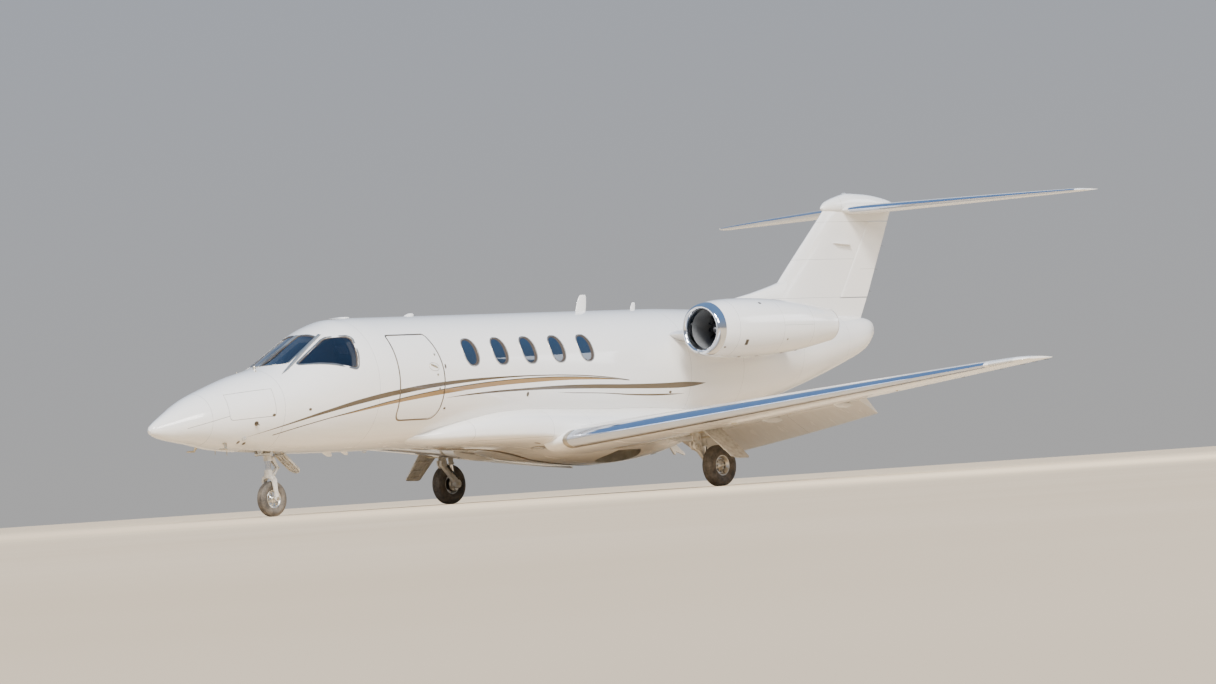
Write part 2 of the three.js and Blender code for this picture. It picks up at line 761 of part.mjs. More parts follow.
function glazing() {
  const depth = GLASS_DEPTH + GLASS_THICKNESS;
  const pane = hull(...GLAZED, -GLASS_DEPTH).subtract(hull(GLAZED[0] - 50, GLAZED[1] + 50, -depth));
  const windshield = pane.intersect(planPrism(shrunk(WINDSHIELD, 1), 0, 900));
  const sideCut = sidePrism(shrunk(SIDE_WINDOW, 1), COCKPIT_CUT.inner + 1, COCKPIT_CUT.outer);
  const sideWindow = pane.intersect(sideCut);
  add('windshield_left', windshield, GLASS);
  add('windshield_right', mirrored(windshield), GLASS);
  add('side_window_left', sideWindow, GLASS);
  add('side_window_right', mirrored(sideWindow), GLASS);
  const innermost = hull(LINED[0] - 50, LINED[1] + 50, -WALL - WINDOW_PANEL.thickness);
  const sleeve = hull(...LINED, -GLASS_DEPTH).subtract(innermost);
  const band = hull(...LINED, -WALL - GAP).subtract(innermost);
  for (const [side, name] of [[1, 'left'], [-1, 'right']]) {
    const stations = windowStations(side);
    const { margin, outer, low, high } = WINDOW_PANEL;
    const reach = [stations[0] - margin, stations.at(-1) + margin];
    const across = side > 0 ? [CABIN_CUT.inner, outer] : [-outer, -CABIN_CUT.inner];
    let panel = band.intersect(box(reach, across, [low, high]));
    for (const station of stations) {
      const oval = sidePrism(windowOval(station, 1), side * CABIN_CUT.inner, side * CABIN_CUT.outer);
      panel = panel.add(sleeve.intersect(oval));
    }
    add(`cabin_windows_${name}`, panel, GLASS);
  }
}

// A seat as [station, height] outlines; it faces forward with facing 1 and aft with facing -1
function seat(station, y, facing, base) {
  const half = SEAT_WIDTH / 2;
  const turn = (outline) => outline.map(([s, z]) => [station + s * facing, z + base]);
  const body = sidePrism(turn(SEAT_BODY), y - half, y + half);
  const foot = sidePrism(turn(SEAT_FOOT), y - half / 2, y + half / 2);
  const arms = [-1, 1].map((side) => {
    const inner = y + side * (half - 1);
    return sidePrism(turn(SEAT_ARM), inner, inner + side * SEAT_ARM_WIDTH);
  });
  return join(body, foot, ...arms);
}

function interior() {
  const lining = hull(CABIN_INSIDE.front + GAP, CABIN_INSIDE.back - GAP, -WALL - GAP);
  const slab = box([CABIN_INSIDE.front, CABIN_INSIDE.back], WIDE, [FLOOR_TOP - FLOOR_THICKNESS, FLOOR_TOP]);
  add('cabin_floor', lining.intersect(slab), TRIM);
  const seatBase = FLOOR_TOP + GAP;
  const pilot = seat(PILOT_SEAT.station, PILOT_SEAT.y, 1, seatBase);
  add('pilot_seat_left', pilot, LEATHER);
  add('pilot_seat_right', mirrored(pilot), LEATHER);
  const railSides = [CABIN_SEAT_Y - SEAT_RAIL.width / 2, CABIN_SEAT_Y + SEAT_RAIL.width / 2];
  const rail = box([SEAT_RAIL.front, SEAT_RAIL.back], railSides, [seatBase, seatBase + SEAT_RAIL.height]);
  const cabinSeats = join(rail, ...CABIN_SEATS.map(([station, facing]) => {
    return seat(station, CABIN_SEAT_Y, facing, seatBase);
  }));
  add('cabin_seats_left', cabinSeats, LEATHER);
  add('cabin_seats_right', mirrored(cabinSeats), LEATHER);
  const board = hull(CABIN_INSIDE.front + 30, CABIN_INSIDE.front + 500, -WALL - 3 * GAP)
    .intersect(join(box(...PANEL_BOARD), box(...PANEL_SHIELD)));
  const stand = ({ stations, halfWide, top }) => box(stations, [-halfWide, halfWide], [seatBase, top]);
  const yokes = [-YOKE.y, YOKE.y].map((y) => {
    const { root, station, low, middle, high, halfSpan, shaft } = YOKE;
    const grip = [at(station, y - halfSpan, high), at(station, y + halfSpan, high)];
    const stem = [at(station, y, middle - 10), at(station, y, high)];
    return join(
      bar(at(root, y, low), at(station, y, middle), shaft, shaft, 8),
      strap(...grip, 60, 26, new THREE.Vector3(0, 0, 1)),
      strap(...stem, 60, 26, new THREE.Vector3(0, 1, 0)),
    );
  });
  add('instrument_panel', join(board, stand(PANEL_PEDESTAL), stand(PANEL_LEG), ...yokes), TRIM);
}

function entryDoor() {
  const [front, back] = DOORWAY;
  const skin = hull(front, back, 0).subtract(hull(front - 50, back + 50, -WALL));
  add('entry_door', doorHinge().swing(skin.intersect(doorPrism(0))), PAINT);
}

function tailCone() {
  const outside = hullOutside.intersect(box([CABIN_END, LENGTH], WIDE, WIDE));
  add('tail_cone', outside.subtract(hull(CABIN_END - 10, TAIL_INSIDE_END, -TAIL_WALL)), PAINT);
}

function fairingLoft(grow = 0) {
  const power = 2 / FAIRING_POWER;
  const fat = (v) => Math.sign(v) * Math.abs(v) ** power;
  const sides = 24;
  return loft(FAIRING.map(([station, half, waist, rise, drop]) => Array.from({ length: sides }, (_, i) => {
    const angle = (i / sides) * 2 * Math.PI;
    const reach = Math.sin(angle) > 0 ? rise + grow : drop + grow;
    return at(station, (half + grow) * fat(Math.cos(angle)), waist + reach * fat(Math.sin(angle)));
  })));
}

function fairing() {
  const wingHole = wingLoft(GAP);
  const { station, y, radius, roof, depth } = WHEEL_BAY;
  const bay = bar(at(station, y, roof), at(station, y, roof - depth), radius, radius, WHEEL_SIDES);
  const mast = sidePrism(DRAIN_MAST, -DRAIN_MAST_HALF, DRAIN_MAST_HALF);
  let body = join(fairingLoft(), mast).subtract(hullClearance);
  for (const cut of [wingHole, bay]) {
    body = body.subtract(cut).subtract(mirrored(cut));
  }
  add('wing_fairing', body, PAINT);
}

// The wing's trailing edge, leading edge and thickness at a distance from the middle
function wingSection(y) {
  const [, front, back, thickness] = interpolate(WING, y);
  return { front, back, thickness };
}

// A hinge point on the wing at a distance from the middle; drop 0 is mid-thickness, 1 the lower skin
function wingHinge(y, chordShare, drop) {
  const { front, back, thickness } = wingSection(y);
  const station = back - chordShare * (back - front);
  const share = 1 - chordShare;
  const mean = WING_CAMBER * (back - front) * 4 * share * chordShare;
  return at(station, y, wingHeight(y) + mean - drop * surfaceHalf(thickness, share));
}

function surfaceHalf(thickness, share) {
  return foil(thickness, 0, (c, offset) => [c, offset])
    .filter(([, offset]) => offset >= 0)
    .sort((a, b) => a[0] - b[0])
    .reduce((found, [c, offset], i, all) => {
      if (i > 0 && all[i - 1][0] <= share && c >= share) {
        const part = (share - all[i - 1][0]) / (c - all[i - 1][0]);
        return all[i - 1][1] + (offset - all[i - 1][1]) * part;
      }
      return found;
    }, 0);
}

const flapHinge = [wingHinge(FLAP.inner, FLAP.chord, 1), wingHinge(FLAP.outer, FLAP.chord, 1)];
const aileronHinge = [wingHinge(AILERON.inner, AILERON.chord, 0), wingHinge(AILERON.outer, AILERON.chord, 0)];

function wings() {
  const noses = [AILERON.inner, AILERON.outer].map((y) => noseOf(WING, y, AILERON.chord));
  const aileron = splitSurface(wingLoft(), ...aileronHinge, ...noses);
  const frame = hingeFrame(...flapHinge, AFT);
  const length = flapHinge[0].distanceTo(flapHinge[1]);
  const flap = aileron.fixed.intersect(framedBox(frame, [0, length], [0, REACH], [-REACH, REACH]));
  const cove = framedBox(frame, [-RUNNING_GAP, length + RUNNING_GAP], [-RUNNING_GAP, REACH], [-REACH, REACH]);
  const legBay = box([LEG_BAY.front, LEG_BAY.back], [LEG_BAY.inner, LEG_BAY.outer], [WIDE[0], LEG.top + GAP]);
  const { pins, bores } = endPins(...flapHinge);
  const padAt = (z) => at(JACK_PAD.station, JACK_PAD.y, z);
  const pad = bar(padAt(JACK_PAD.top), padAt(JACK_PAD.face), JACK_PAD.radius, JACK_PAD.radius, 16);
  const wing = aileron.fixed.subtract(cove).subtract(legBay).add(join(pins, pad));
  const flapDown = turnedAbout(flap.subtract(bores), ...flapHinge, -FLAP.down);
  add('wing_left', wing, PAINT);
  add('wing_right', mirrored(wing), PAINT);
  add('flap_left', flapDown, PAINT);
  add('flap_right', mirrored(flapDown), PAINT);
  add('aileron_left', aileron.moving, PAINT);
  add('aileron_right', mirrored(aileron.moving), PAINT);
}

function foilLoft(table, place) {
  return loft(table.map(([where, front, back, thickness]) => {
    return foil(thickness, 0, (c, offset) => place(where, front + c * (back - front), offset));
  }));
}

function surfaceHinge(table, where, chordShare, place) {
  const [, front, back] = interpolate(table, where);
  return place(where, back - chordShare * (back - front), 0);
}

const finPlace = (z, station, offset) => at(station, offset, z);
const tailPlace = (y, station, offset) => at(station, y, TAILPLANE_Z + offset);
const rudderHinge = [RUDDER.low, RUDDER.high].map((z) => surfaceHinge(FIN, z, RUDDER.chord, finPlace));
const elevatorHinge = [ELEVATOR.inner, ELEVATOR.outer]
  .map((y) => surfaceHinge(TAILPLANE, y, ELEVATOR.chord, tailPlace));

// The radius of a control surface's round nose at its hinge
const NOSE_EXTRA = 2;

function noseOf(table, where, chordShare) {
  const [, , , thickness] = interpolate(table, where);
  return surfaceHalf(thickness, 1 - chordShare) + NOSE_EXTRA;
}

function fin() {
  const blade = foilLoft(FIN, finPlace);
  const dorsal = loft(DORSAL.map(([half, [s0, z0], [s1, z1]]) => {
    const top = half * DORSAL_TOP_SHARE;
    return [at(s0, -half, z0), at(s0, half, z0), at(s1, top, z1), at(s1, -top, z1)];
  }));
  const whole = blade.add(dorsal).subtract(hullClearance);
  const ends = [RUDDER.low, RUDDER.high].map((z) => noseOf(FIN, z, RUDDER.chord));
  const { moving, fixed } = splitSurface(whole, ...rudderHinge, ...ends);
  const seat = foilLoft(TAILPLANE.map(([y, front, back, thickness]) => {
    return [y, front - GAP, back + GAP, thickness + 2 * GAP];
  }), tailPlace);
  add('fin', fixed.subtract(join(bulletLoft(GAP), seat, mirrored(seat))), PAINT);
  add('rudder', moving, PAINT);
}

function bulletLoft(grow = 0) {
  const sides = 14;
  return loft(BULLET.map(([station, half, tall, z]) => Array.from({ length: sides }, (_, i) => {
    const angle = (i / sides) * 2 * Math.PI;
    return at(station, (half + grow) * Math.cos(angle), z + (tall + grow) * Math.sin(angle));
  })));
}

function tailplane() {
  const half = foilLoft(TAILPLANE, tailPlace);
  const ends = [ELEVATOR.inner, ELEVATOR.outer].map((y) => noseOf(TAILPLANE, y, ELEVATOR.chord));
  const { moving, fixed } = splitSurface(half, ...elevatorHinge, ...ends);
  add('tailplane', join(fixed, mirrored(fixed), bulletLoft()), PAINT);
  add('elevator_left', moving, PAINT);
  add('elevator_right', mirrored(moving), PAINT);
}

function engineTurned(profile, y, sides = ENGINE_SIDES) {
  const flat = profile.map(([radius, station]) => [radius, -station]);
  return turned(flat, at(0, y, ENGINE_Z), new THREE.Vector3(1, 0, 0), sides);
}

function fan(y) {
  const profile = [...SPINNER, [FAN.hub, FAN.front], [FAN.hub, FAN.back], [0, FAN.back]];
  const spinner = engineTurned(profile, y, FAN.blades);
  const span = FAN.radius - FAN.hub + FAN.root;
  const blades = Array.from({ length: FAN.blades }, (_, i) => {
    const blade = new THREE.BoxGeometry(FAN.chord, FAN.thickness, span);
    blade.applyMatrix4(new THREE.Matrix4().makeRotationZ(THREE.MathUtils.degToRad(FAN.pitch)));
    blade.translate(0, 0, FAN.radius - span / 2);
    blade.applyMatrix4(new THREE.Matrix4().makeRotationX((i / FAN.blades) * 2 * Math.PI));
    const middle = at((FAN.front + FAN.back) / 2, y, ENGINE_Z);
    return toSolid(blade.translate(middle.x, middle.y, middle.z));
  });
  return join(spinner, ...blades);
}

function engine(side) {
  const y = side * ENGINE_Y;
  const name = side > 0 ? 'left' : 'right';
  add(`nacelle_${name}`, engineTurned([...NACELLE_OUTSIDE, ...NACELLE_INSIDE], y), PAINT);
  add(`inlet_lip_${name}`, engineTurned(LIP, y), POLISHED);
  add(`fan_${name}`, fan(y), FAN_METAL);
  const { front, back, radius, shaft, coneRadius, coneEnd } = ENGINE_BLOCK;
  const core = [
    [0, FAN.back + GAP], [shaft, FAN.back + GAP], [shaft, front], [radius - GAP, front],
    [radius - GAP, back], [coneRadius, back], [shaft, coneEnd], [0, coneEnd],
  ];
  add(`engine_${name}`, engineTurned(core, y), STEEL);
  const [inner, outer] = side > 0 ? [PYLON_ROOT, ENGINE_Y] : [-ENGINE_Y, -PYLON_ROOT];
  const grown = NACELLE_OUTSIDE.map(([r, s]) => [r + GAP, s]);
  const nacelleRoom = engineTurned([[0, NACELLE_OUTSIDE[0][1]], ...grown, [0, EXHAUST_END]], y);
  const clearance = join(nacelleRoom, engineTurned(LIP_ROOM, y), hullClearance);
  add(`pylon_${name}`, sidePrism(PYLON, inner, outer).subtract(clearance), PAINT);
}

// Wheels turn on horizontal axles; the profiles are [radius, offset] pairs.
// A flat of the tread, not a corner, rests on the ground.
function wheelParts(name, { station, y, radius, width, rim, axle }, side) {
  const halfStep = Math.PI / WHEEL_SIDES;
  const bore = axle / Math.cos(halfStep) + GAP;
  const treadRadius = radius / Math.cos(halfStep);
  const half = width / 2;
  const flange = rim + 8;
  const centre = at(station, side * y, radius - CABIN_AXIS_Z);
  const across = new THREE.Vector3(0, 1, 0);
  const hub = axle + 26;
  const oneSide = [
    [bore, 0.66 * half], [hub, 0.66 * half], [rim - 16, 0.22 * half],
    [rim - 8, 0.9 * half], [flange, 0.9 * half], [rim, 0.72 * half],
  ];
  const whole = [...oneSide.map(([r, o]) => [r, -o]), ...oneSide.slice().reverse()];
  const tyreSide = [
    [rim + 0.5, 0.705 * half], [flange + 12, 0.92 * half], [(flange + radius) / 2 + 6, half],
    [radius * 0.95, 0.78 * half],
  ];
  const tread = [[treadRadius, -0.34 * half], [treadRadius, 0.34 * half]];
  const tyre = [...tyreSide.map(([r, o]) => [r, -o]), ...tread, ...tyreSide.slice().reverse()];
  add(`${name}_rim`, turned(whole, centre, across, WHEEL_SIDES, halfStep), STEEL);
  add(`${name}_tyre`, turned(tyre, centre, across, WHEEL_SIDES, halfStep), RUBBER);
}

function mainGear() {
  const axleZ = MAIN_WHEEL.radius - CABIN_AXIS_Z;
  const { station, y, top, pivot, lean, topRadius, footRadius } = LEG;
  const across = new THREE.Vector3(0, 1, 0);
  const legBar = (extra) => bar(
    at(station + lean, y, top),
    at(station, y, pivot),
    topRadius + extra,
    footRadius + extra,
  );
  const legPin = (extra) => bar(
    at(station, y + LEG_PIN.inner - 2 * extra, pivot),
    at(station, y + LEG_PIN.outer + 2 * extra, pivot),
    LEG_PIN.radius + extra,
  );
  const shockLug = (extra) => strap(
    at(station + SHOCK_LUG.rootStation, y, SHOCK_LUG.root),
    at(station + SHOCK_LUG.endStation + 2 * extra, y, SHOCK_LUG.end + extra),
    SHOCK_LUG.width + 2 * extra,
    SHOCK_LUG.thickness + extra,
    across,
  );
  const braceTop = at(station + SIDE_BRACE.topStation, y - SIDE_BRACE.topInboard, top + 2);
  const braceFoot = at(station + SIDE_BRACE.footStation, y, SIDE_BRACE.foot);
  const collarTop = at(station + lean, y, top);
  const leg = join(
    legBar(0),
    legPin(0),
    shockLug(0),
    bar(braceTop, braceFoot, SIDE_BRACE.radius),
    bar(collarTop, at(station + lean, y, top - LEG_COLLAR.height), LEG_COLLAR.radius),
  ).intersect(box([0, LENGTH], [0, WIDE[1] * 2], [WIDE[0], top]));
  const armFrom = at(station, y, pivot);
  const armTo = at(MAIN_WHEEL.station, y - ARM.inboard, axleZ);
  const shockTop = at(station + SHOCK.topStation, y, SHOCK.top);
  const shockFoot = at(MAIN_WHEEL.station + SHOCK.footStation, y, axleZ + SHOCK.footRise);
  const middle = shockTop.clone().lerp(shockFoot, SHOCK.split);
  const onAxle = (offset) => at(MAIN_WHEEL.station, offset, axleZ);
  const arm = join(
    strap(armFrom, armTo, ARM.width, ARM.thickness, across),
    bar(onAxle(y - 42), onAxle(MAIN_WHEEL.y + ARM.axleOuter), MAIN_WHEEL.axle, MAIN_WHEEL.axle, WHEEL_SIDES),
    bar(onAxle(y + ARM.hubInner), onAxle(y + ARM.hubOuter), ARM.hubRadius, ARM.hubRadius, 14),
    bar(shockTop, middle, SHOCK.radius),
    bar(middle, shockFoot, SHOCK.piston),
    strap(shockFoot, armTo, ARM_FOOT.width, ARM_FOOT.thickness, across),
  ).subtract(join(legPin(1), legBar(1), shockLug(1)));
  const doorFace = (depth) => MAIN_DOOR.map(([s, doorY, z]) => at(s, doorY, z - depth));
  const doorPlate = loft([doorFace(0), doorFace(DOOR_PLATE)]);
  const door = doorPlate.subtract(wingLoft(GAP));
  for (const [side, name] of [[1, 'left'], [-1, 'right']]) {
    const place = (solid) => (side > 0 ? solid : mirrored(solid));
    add(`main_leg_${name}`, place(leg), GEAR_PAINT);
    add(`main_arm_${name}`, place(arm), GEAR_PAINT);
    add(`main_gear_door_${name}`, place(door), PAINT);
    wheelParts(`main_wheel_${name}`, MAIN_WHEEL, side);
  }
}

function noseStrut() {
  const { station, roof, end, radius, headRadius, head } = STRUT;
  const braceTop = at(station - DRAG_BRACE.ahead, 0, roof - DRAG_BRACE.drop);
  const braceFoot = at(station - DRAG_BRACE.footAhead, 0, DRAG_BRACE.foot);
  return join(
    bar(at(station, 0, roof), at(station, 0, end), radius, radius, 16),
    bar(at(station, 0, roof), at(station, 0, roof - head), headRadius, headRadius, 16),
    bar(braceTop, braceFoot, DRAG_BRACE.radius, DRAG_BRACE.radius, 8),
    bar(at(station - LAMP.from, 0, LAMP.z), at(station - LAMP.to, 0, LAMP.z), LAMP.radius, LAMP.face, 12),
  );
}

// The fork, its steering ring round the strut and the scissor links behind it
function noseFork() {
  const axleZ = NOSE_WHEEL.radius - CABIN_AXIS_Z;
  const { station, end, radius, collar } = STRUT;
  const { side, crown, stem, crownWidth, crownHeight, legWidth, legDepth } = FORK;
  const { knee, kneeZ, width, thickness, pin, pinHalf, ring } = SCISSORS;
  const across = new THREE.Vector3(0, 1, 0);
  const kneeAt = (y) => at(station + knee, y, kneeZ);
  const upperLink = at(station + radius + 10, 0, collar - ring / 2);
  const lowerLink = at(station + 20, 0, crown + 20);
  const outerRing = bar(at(station, 0, collar), at(station, 0, collar - ring), radius + 20, radius + 20, 16);
  const boreEnds = [at(station, 0, collar + 5), at(station, 0, collar - ring - 6)];
  const ringBore = bar(...boreEnds, radius + 6, radius + 6, 16);
  const overhang = 14;
  const crownEnds = [-1, 1].map((s) => at(station, s * (side + overhang), crown));
  const legs = [-side, side].map((y) => {
    const foot = at(NOSE_WHEEL.station, y, axleZ - 25);
    return strap(at(station, y, crown + 20), foot, legWidth, legDepth, across);
  });
  const axleEnds = [-1, 1].map((s) => at(NOSE_WHEEL.station, s * (side + 20), axleZ));
  return join(
    bar(at(station, 0, end - GAP), at(station, 0, crown), stem, stem, 16),
    outerRing.subtract(ringBore),
    strap(upperLink, kneeAt(0), width, thickness, across),
    strap(kneeAt(0), lowerLink, width, thickness, across),
    bar(kneeAt(-pinHalf), kneeAt(pinHalf), pin),
    strap(...crownEnds, crownWidth, crownHeight, new THREE.Vector3(1, 0, 0)),
    ...legs,
    bar(...axleEnds, NOSE_WHEEL.axle, NOSE_WHEEL.axle, WHEEL_SIDES),
  );
}

function noseGear() {
  add('nose_strut', noseStrut(), GEAR_PAINT);
  add('nose_fork', noseFork(), GEAR_PAINT);
  wheelParts('nose_wheel', NOSE_WHEEL, 1);
  const across = new THREE.Vector3(0, 1, 0);
  const ends = [NOSE_DOOR.top, NOSE_DOOR.foot];
  const plate = strap(...ends.map(([s, z]) => at(s, 0, z)), NOSE_DOOR.width, DOOR_PLATE, across);
  const ribs = NOSE_DOOR.ribs.map((y) => {
    return strap(...ends.map(([s, z]) => at(s, y, z)), DOOR_PLATE, NOSE_DOOR.ribDepth, across);
  });
  add('nose_gear_door', join(plate, ...ribs).subtract(hullClearance), PAINT);
}

noseParts();
cabinShell();
glazing();
interior();
entryDoor();
tailCone();
fairing();
wings();
fin();
tailplane();
engine(1);
engine(-1);
mainGear();
noseGear();

export default jet;
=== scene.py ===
from math import atan2, cos, hypot, pi, radians, sin, sqrt, tan

import bmesh
import bpy
from mathutils import Matrix, Vector


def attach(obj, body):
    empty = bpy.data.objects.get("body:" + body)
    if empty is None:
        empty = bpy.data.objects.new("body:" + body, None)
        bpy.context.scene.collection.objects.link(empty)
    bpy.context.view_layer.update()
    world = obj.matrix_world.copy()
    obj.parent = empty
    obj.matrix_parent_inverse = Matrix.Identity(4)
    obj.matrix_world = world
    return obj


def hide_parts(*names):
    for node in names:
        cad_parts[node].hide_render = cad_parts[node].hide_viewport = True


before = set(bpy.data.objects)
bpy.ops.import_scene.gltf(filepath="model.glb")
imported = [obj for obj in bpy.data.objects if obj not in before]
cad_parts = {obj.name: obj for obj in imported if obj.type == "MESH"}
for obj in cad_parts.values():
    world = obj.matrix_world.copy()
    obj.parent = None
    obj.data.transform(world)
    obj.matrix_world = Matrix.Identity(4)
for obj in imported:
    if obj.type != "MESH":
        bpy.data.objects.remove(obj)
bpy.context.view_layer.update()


# Fuselage skin: sheet aluminium over frames, a smooth tube with a low nose and a raked tail.
# Stations run aft from the tip of the nose and heights from the cabin's axis, in metres.
# Rows: station, top, bottom, half width, height of the widest point.
FUSELAGE = [
    (0.000, -0.437, -0.443, 0.003, -0.440),
    (0.006, -0.417, -0.463, 0.025, -0.440),
    (0.020, -0.395, -0.485, 0.047, -0.440),
    (0.050, -0.370, -0.505, 0.070, -0.440),
    (0.220, -0.270, -0.560, 0.150, -0.420),
    (0.600, -0.080, -0.630, 0.310, -0.370),
    (0.985, 0.050, -0.710, 0.420, -0.330),
    (1.365, 0.160, -0.750, 0.520, -0.280),
    (1.840, 0.270, -0.785, 0.620, -0.200),
    (2.460, 0.590, -0.810, 0.735, -0.100),
    (2.750, 0.735, -0.815, 0.780, -0.050),
    (3.030, 0.805, -0.820, 0.805, -0.020),
    (3.400, 0.820, -0.820, 0.820, 0.000),
    (8.800, 0.820, -0.820, 0.820, 0.000),
    (9.600, 0.800, -0.740, 0.790, 0.030),
    (10.400, 0.770, -0.600, 0.720, 0.080),
    (11.200, 0.730, -0.420, 0.610, 0.150),
    (12.000, 0.690, -0.220, 0.480, 0.240),
    (12.700, 0.650, -0.020, 0.330, 0.320),
    (13.200, 0.620, 0.150, 0.210, 0.390),
    (13.420, 0.578, 0.300, 0.104, 0.445),
    (13.450, 0.550, 0.335, 0.082, 0.445),
    (13.465, 0.515, 0.375, 0.048, 0.445),
    (13.470, 0.460, 0.430, 0.010, 0.445),
]
WALL = 0.085
NOSE_WALL = 0.04
DOOR_GAP = 0.005
NOSE_X, AXIS_Z = 7.265, 1.555  # where the nose's tip and the cabin's axis lie in the frame


def place(station, y, z):
    return Vector((NOSE_X - station, y, AXIS_Z + z))


def turns(count):
    """Angles evenly spaced round a full turn."""
    return [2 * pi * k / count for k in range(count)]


def slopes(rows, column):
    """The slope of one column at each row, chosen so that the curve never overshoots."""
    steps = [(b[column] - a[column]) / (b[0] - a[0]) for a, b in zip(rows, rows[1:])]
    inner = [0 if a * b <= 0 else 2 * a * b / (a + b) for a, b in zip(steps, steps[1:])]
    return [steps[0], *inner, steps[-1]]


known_slopes = {}


def smooth_row(rows, where):
    """A table's row at any place between its rows, on a smooth curve."""
    key = id(rows)
    if key not in known_slopes:
        known_slopes[key] = [slopes(rows, column) for column in range(1, len(rows[0]))]
    where = min(max(where, rows[0][0]), rows[-1][0])
    i = max(k for k in range(len(rows) - 1) if rows[k][0] <= where or k == 0)
    low, high = rows[i], rows[i + 1]
    reach = high[0] - low[0]
    t = (where - low[0]) / reach
    found = []
    for column, slope in enumerate(known_slopes[key], 1):
        a = low[column] * (1 + 2 * t) * (1 - t) ** 2
        b = high[column] * t * t * (3 - 2 * t)
        c = reach * (slope[i] * t * (1 - t) ** 2 + slope[i + 1] * t * t * (t - 1))
        found.append(a + b + c)
    return found


def hull_point(station, angle, grow=0.0):
    """A point of the fuselage skin, at an angle counted from port upwards."""
    top, bottom, half, waist = smooth_row(FUSELAGE, station)
    rise = (top - waist if sin(angle) > 0 else waist - bottom) + grow
    return place(station, (half + grow) * cos(angle), waist + rise * sin(angle))


def hull_angle(point):
    top, bottom, half, waist = smooth_row(FUSELAGE, NOSE_X - point[0])
    up = point[2] - AXIS_Z - waist
    rise = top - waist if up > 0 else waist - bottom
    return atan2(up / max(rise, 1e-6), point[1] / max(half, 1e-6))


def hull_normal(point):
    """The outward direction square to the fuselage skin at a point on or near it."""
    station = NOSE_X - point[0]
    angle = hull_angle(point)
    along = hull_point(station - 0.01, angle) - hull_point(station + 0.01, angle)
    around = hull_point(station, angle + 0.01) - hull_point(station, angle - 0.01)
    return around.cross(along).normalized()


def hull_side(station, z, side=1, grow=0.0):
    """The point of the skin at a station and height, on port (1) or starboard (-1)."""
    top, bottom, half, waist = smooth_row(FUSELAGE, station)
    rise = top - waist if z > waist else waist - bottom
    share = min(1.0, abs(z - waist) / rise)
    spot = place(station, side * half * sqrt(1 - share * share), z)
    return spot + hull_normal(spot) * grow


def spaced(*parts):
    """Places along a piece: (from, to, step) parts joined, each end kept once."""
    found = []
    for start, end, step in parts:
        count = max(1, round((end - start) / step))
        found += [start + (end - start) * i / count for i in range(count)]
    return [*found, parts[-1][1]]


def rolled(rings, closed=True):
    """Bends a flat grid through rings of points, joins its long edges and fills both ends."""
    rows, columns = len(rings), len(rings[0])
    bm = bmesh.new()
    bmesh.ops.create_grid(bm, x_segments=rows - 1, y_segments=columns, size=1)
    for vert in bm.verts:
        i = round((vert.co.x + 1) / 2 * (rows - 1))
        j = round((vert.co.y + 1) / 2 * columns) % columns
        vert.co = rings[i][j]
    bmesh.ops.remove_doubles(bm, verts=bm.verts, dist=1e-6)
    if closed:
        bmesh.ops.holes_fill(bm, edges=bm.edges, sides=0)
    bmesh.ops.recalc_face_normals(bm, faces=bm.faces)
    return bm


def piece(name, bm, *materials, sharp=35, body="airframe", stands_for=(), slot=None):
    """Turns a finished bmesh into an object that rides on its body."""
    mesh = bpy.data.meshes.new(name)
    bm.to_mesh(mesh)
    bm.free()
    for material in materials:
        mesh.materials.append(material)
    made = bpy.data.objects.new(name, mesh)
    bpy.context.scene.collection.objects.link(made)
    if sharp:
        mesh.shade_smooth()
        mesh.set_sharp_from_angle(angle=radians(sharp))
    if body:
        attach(made, body)
    if stands_for:
        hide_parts(*stands_for)
    return made


def prism(outline, direction, low, high):
    """An outline of points pushed along a direction from low to high."""
    bm = bmesh.new()
    verts = [bm.verts.new(point + direction * low) for point in outline]
    face = bmesh.ops.contextual_create(bm, geom=verts)["faces"]
    pushed = bmesh.ops.extrude_face_region(bm, geom=face)["geom"]
    moved = [part for part in pushed if isinstance(part, bmesh.types.BMVert)]
    bmesh.ops.translate(bm, verts=moved, vec=direction * (high - low))
    bmesh.ops.recalc_face_normals(bm, faces=bm.faces)
    return bm


def side_prism(outline, low, high):
    return prism([place(s, 0, z) for s, z in outline], Vector((0, 1, 0)), low, high)


def through_side(outline, side, inner=0.33):
    """A cutter through one side of the tube, from inner metres off its middle outwards."""
    return side_prism(outline, *sorted((side * inner, side * 1.0)))


def plan_prism(outline, low, high):
    return prism([place(s, y, 0) for s, y in outline], Vector((0, 0, 1)), low, high)


def block(s, y, z):
    """A box cutter between pairs of stations, widths and heights."""
    return side_prism([(s[0], z[0]), (s[1], z[0]), (s[1], z[1]), (s[0], z[1])], *y)


def shaped(bm, *steps):
    """Cuts, joins or keeps the overlap with other solids, in order: (what, bmesh) steps."""
    base = piece("work_base", bm, sharp=None, body=None)
    tools = []
    for what, other in steps:
        tool = piece("work_tool", other, sharp=None, body=None)
        tools.append(tool)
        step = base.modifiers.new(what, "BOOLEAN")
        step.operation = what
        step.solver = "MANIFOLD"
        step.object = tool
    bpy.context.view_layer.update()
    result = bmesh.new()
    result.from_object(base, bpy.context.evaluated_depsgraph_get())
    for used in [base, *tools]:
        mesh = used.data
        bpy.data.objects.remove(used)
        bpy.data.meshes.remove(mesh)
    return result


def cut(bm, *tools):
    return shaped(bm, *[("DIFFERENCE", tool) for tool in tools])


def in_mirror(bm, side):
    """A port piece as it is, or turned into its starboard twin."""
    if side < 0:
        bmesh.ops.scale(bm, verts=bm.verts, vec=(1, -1, 1))
        bmesh.ops.reverse_faces(bm, faces=bm.faces)
    return bm


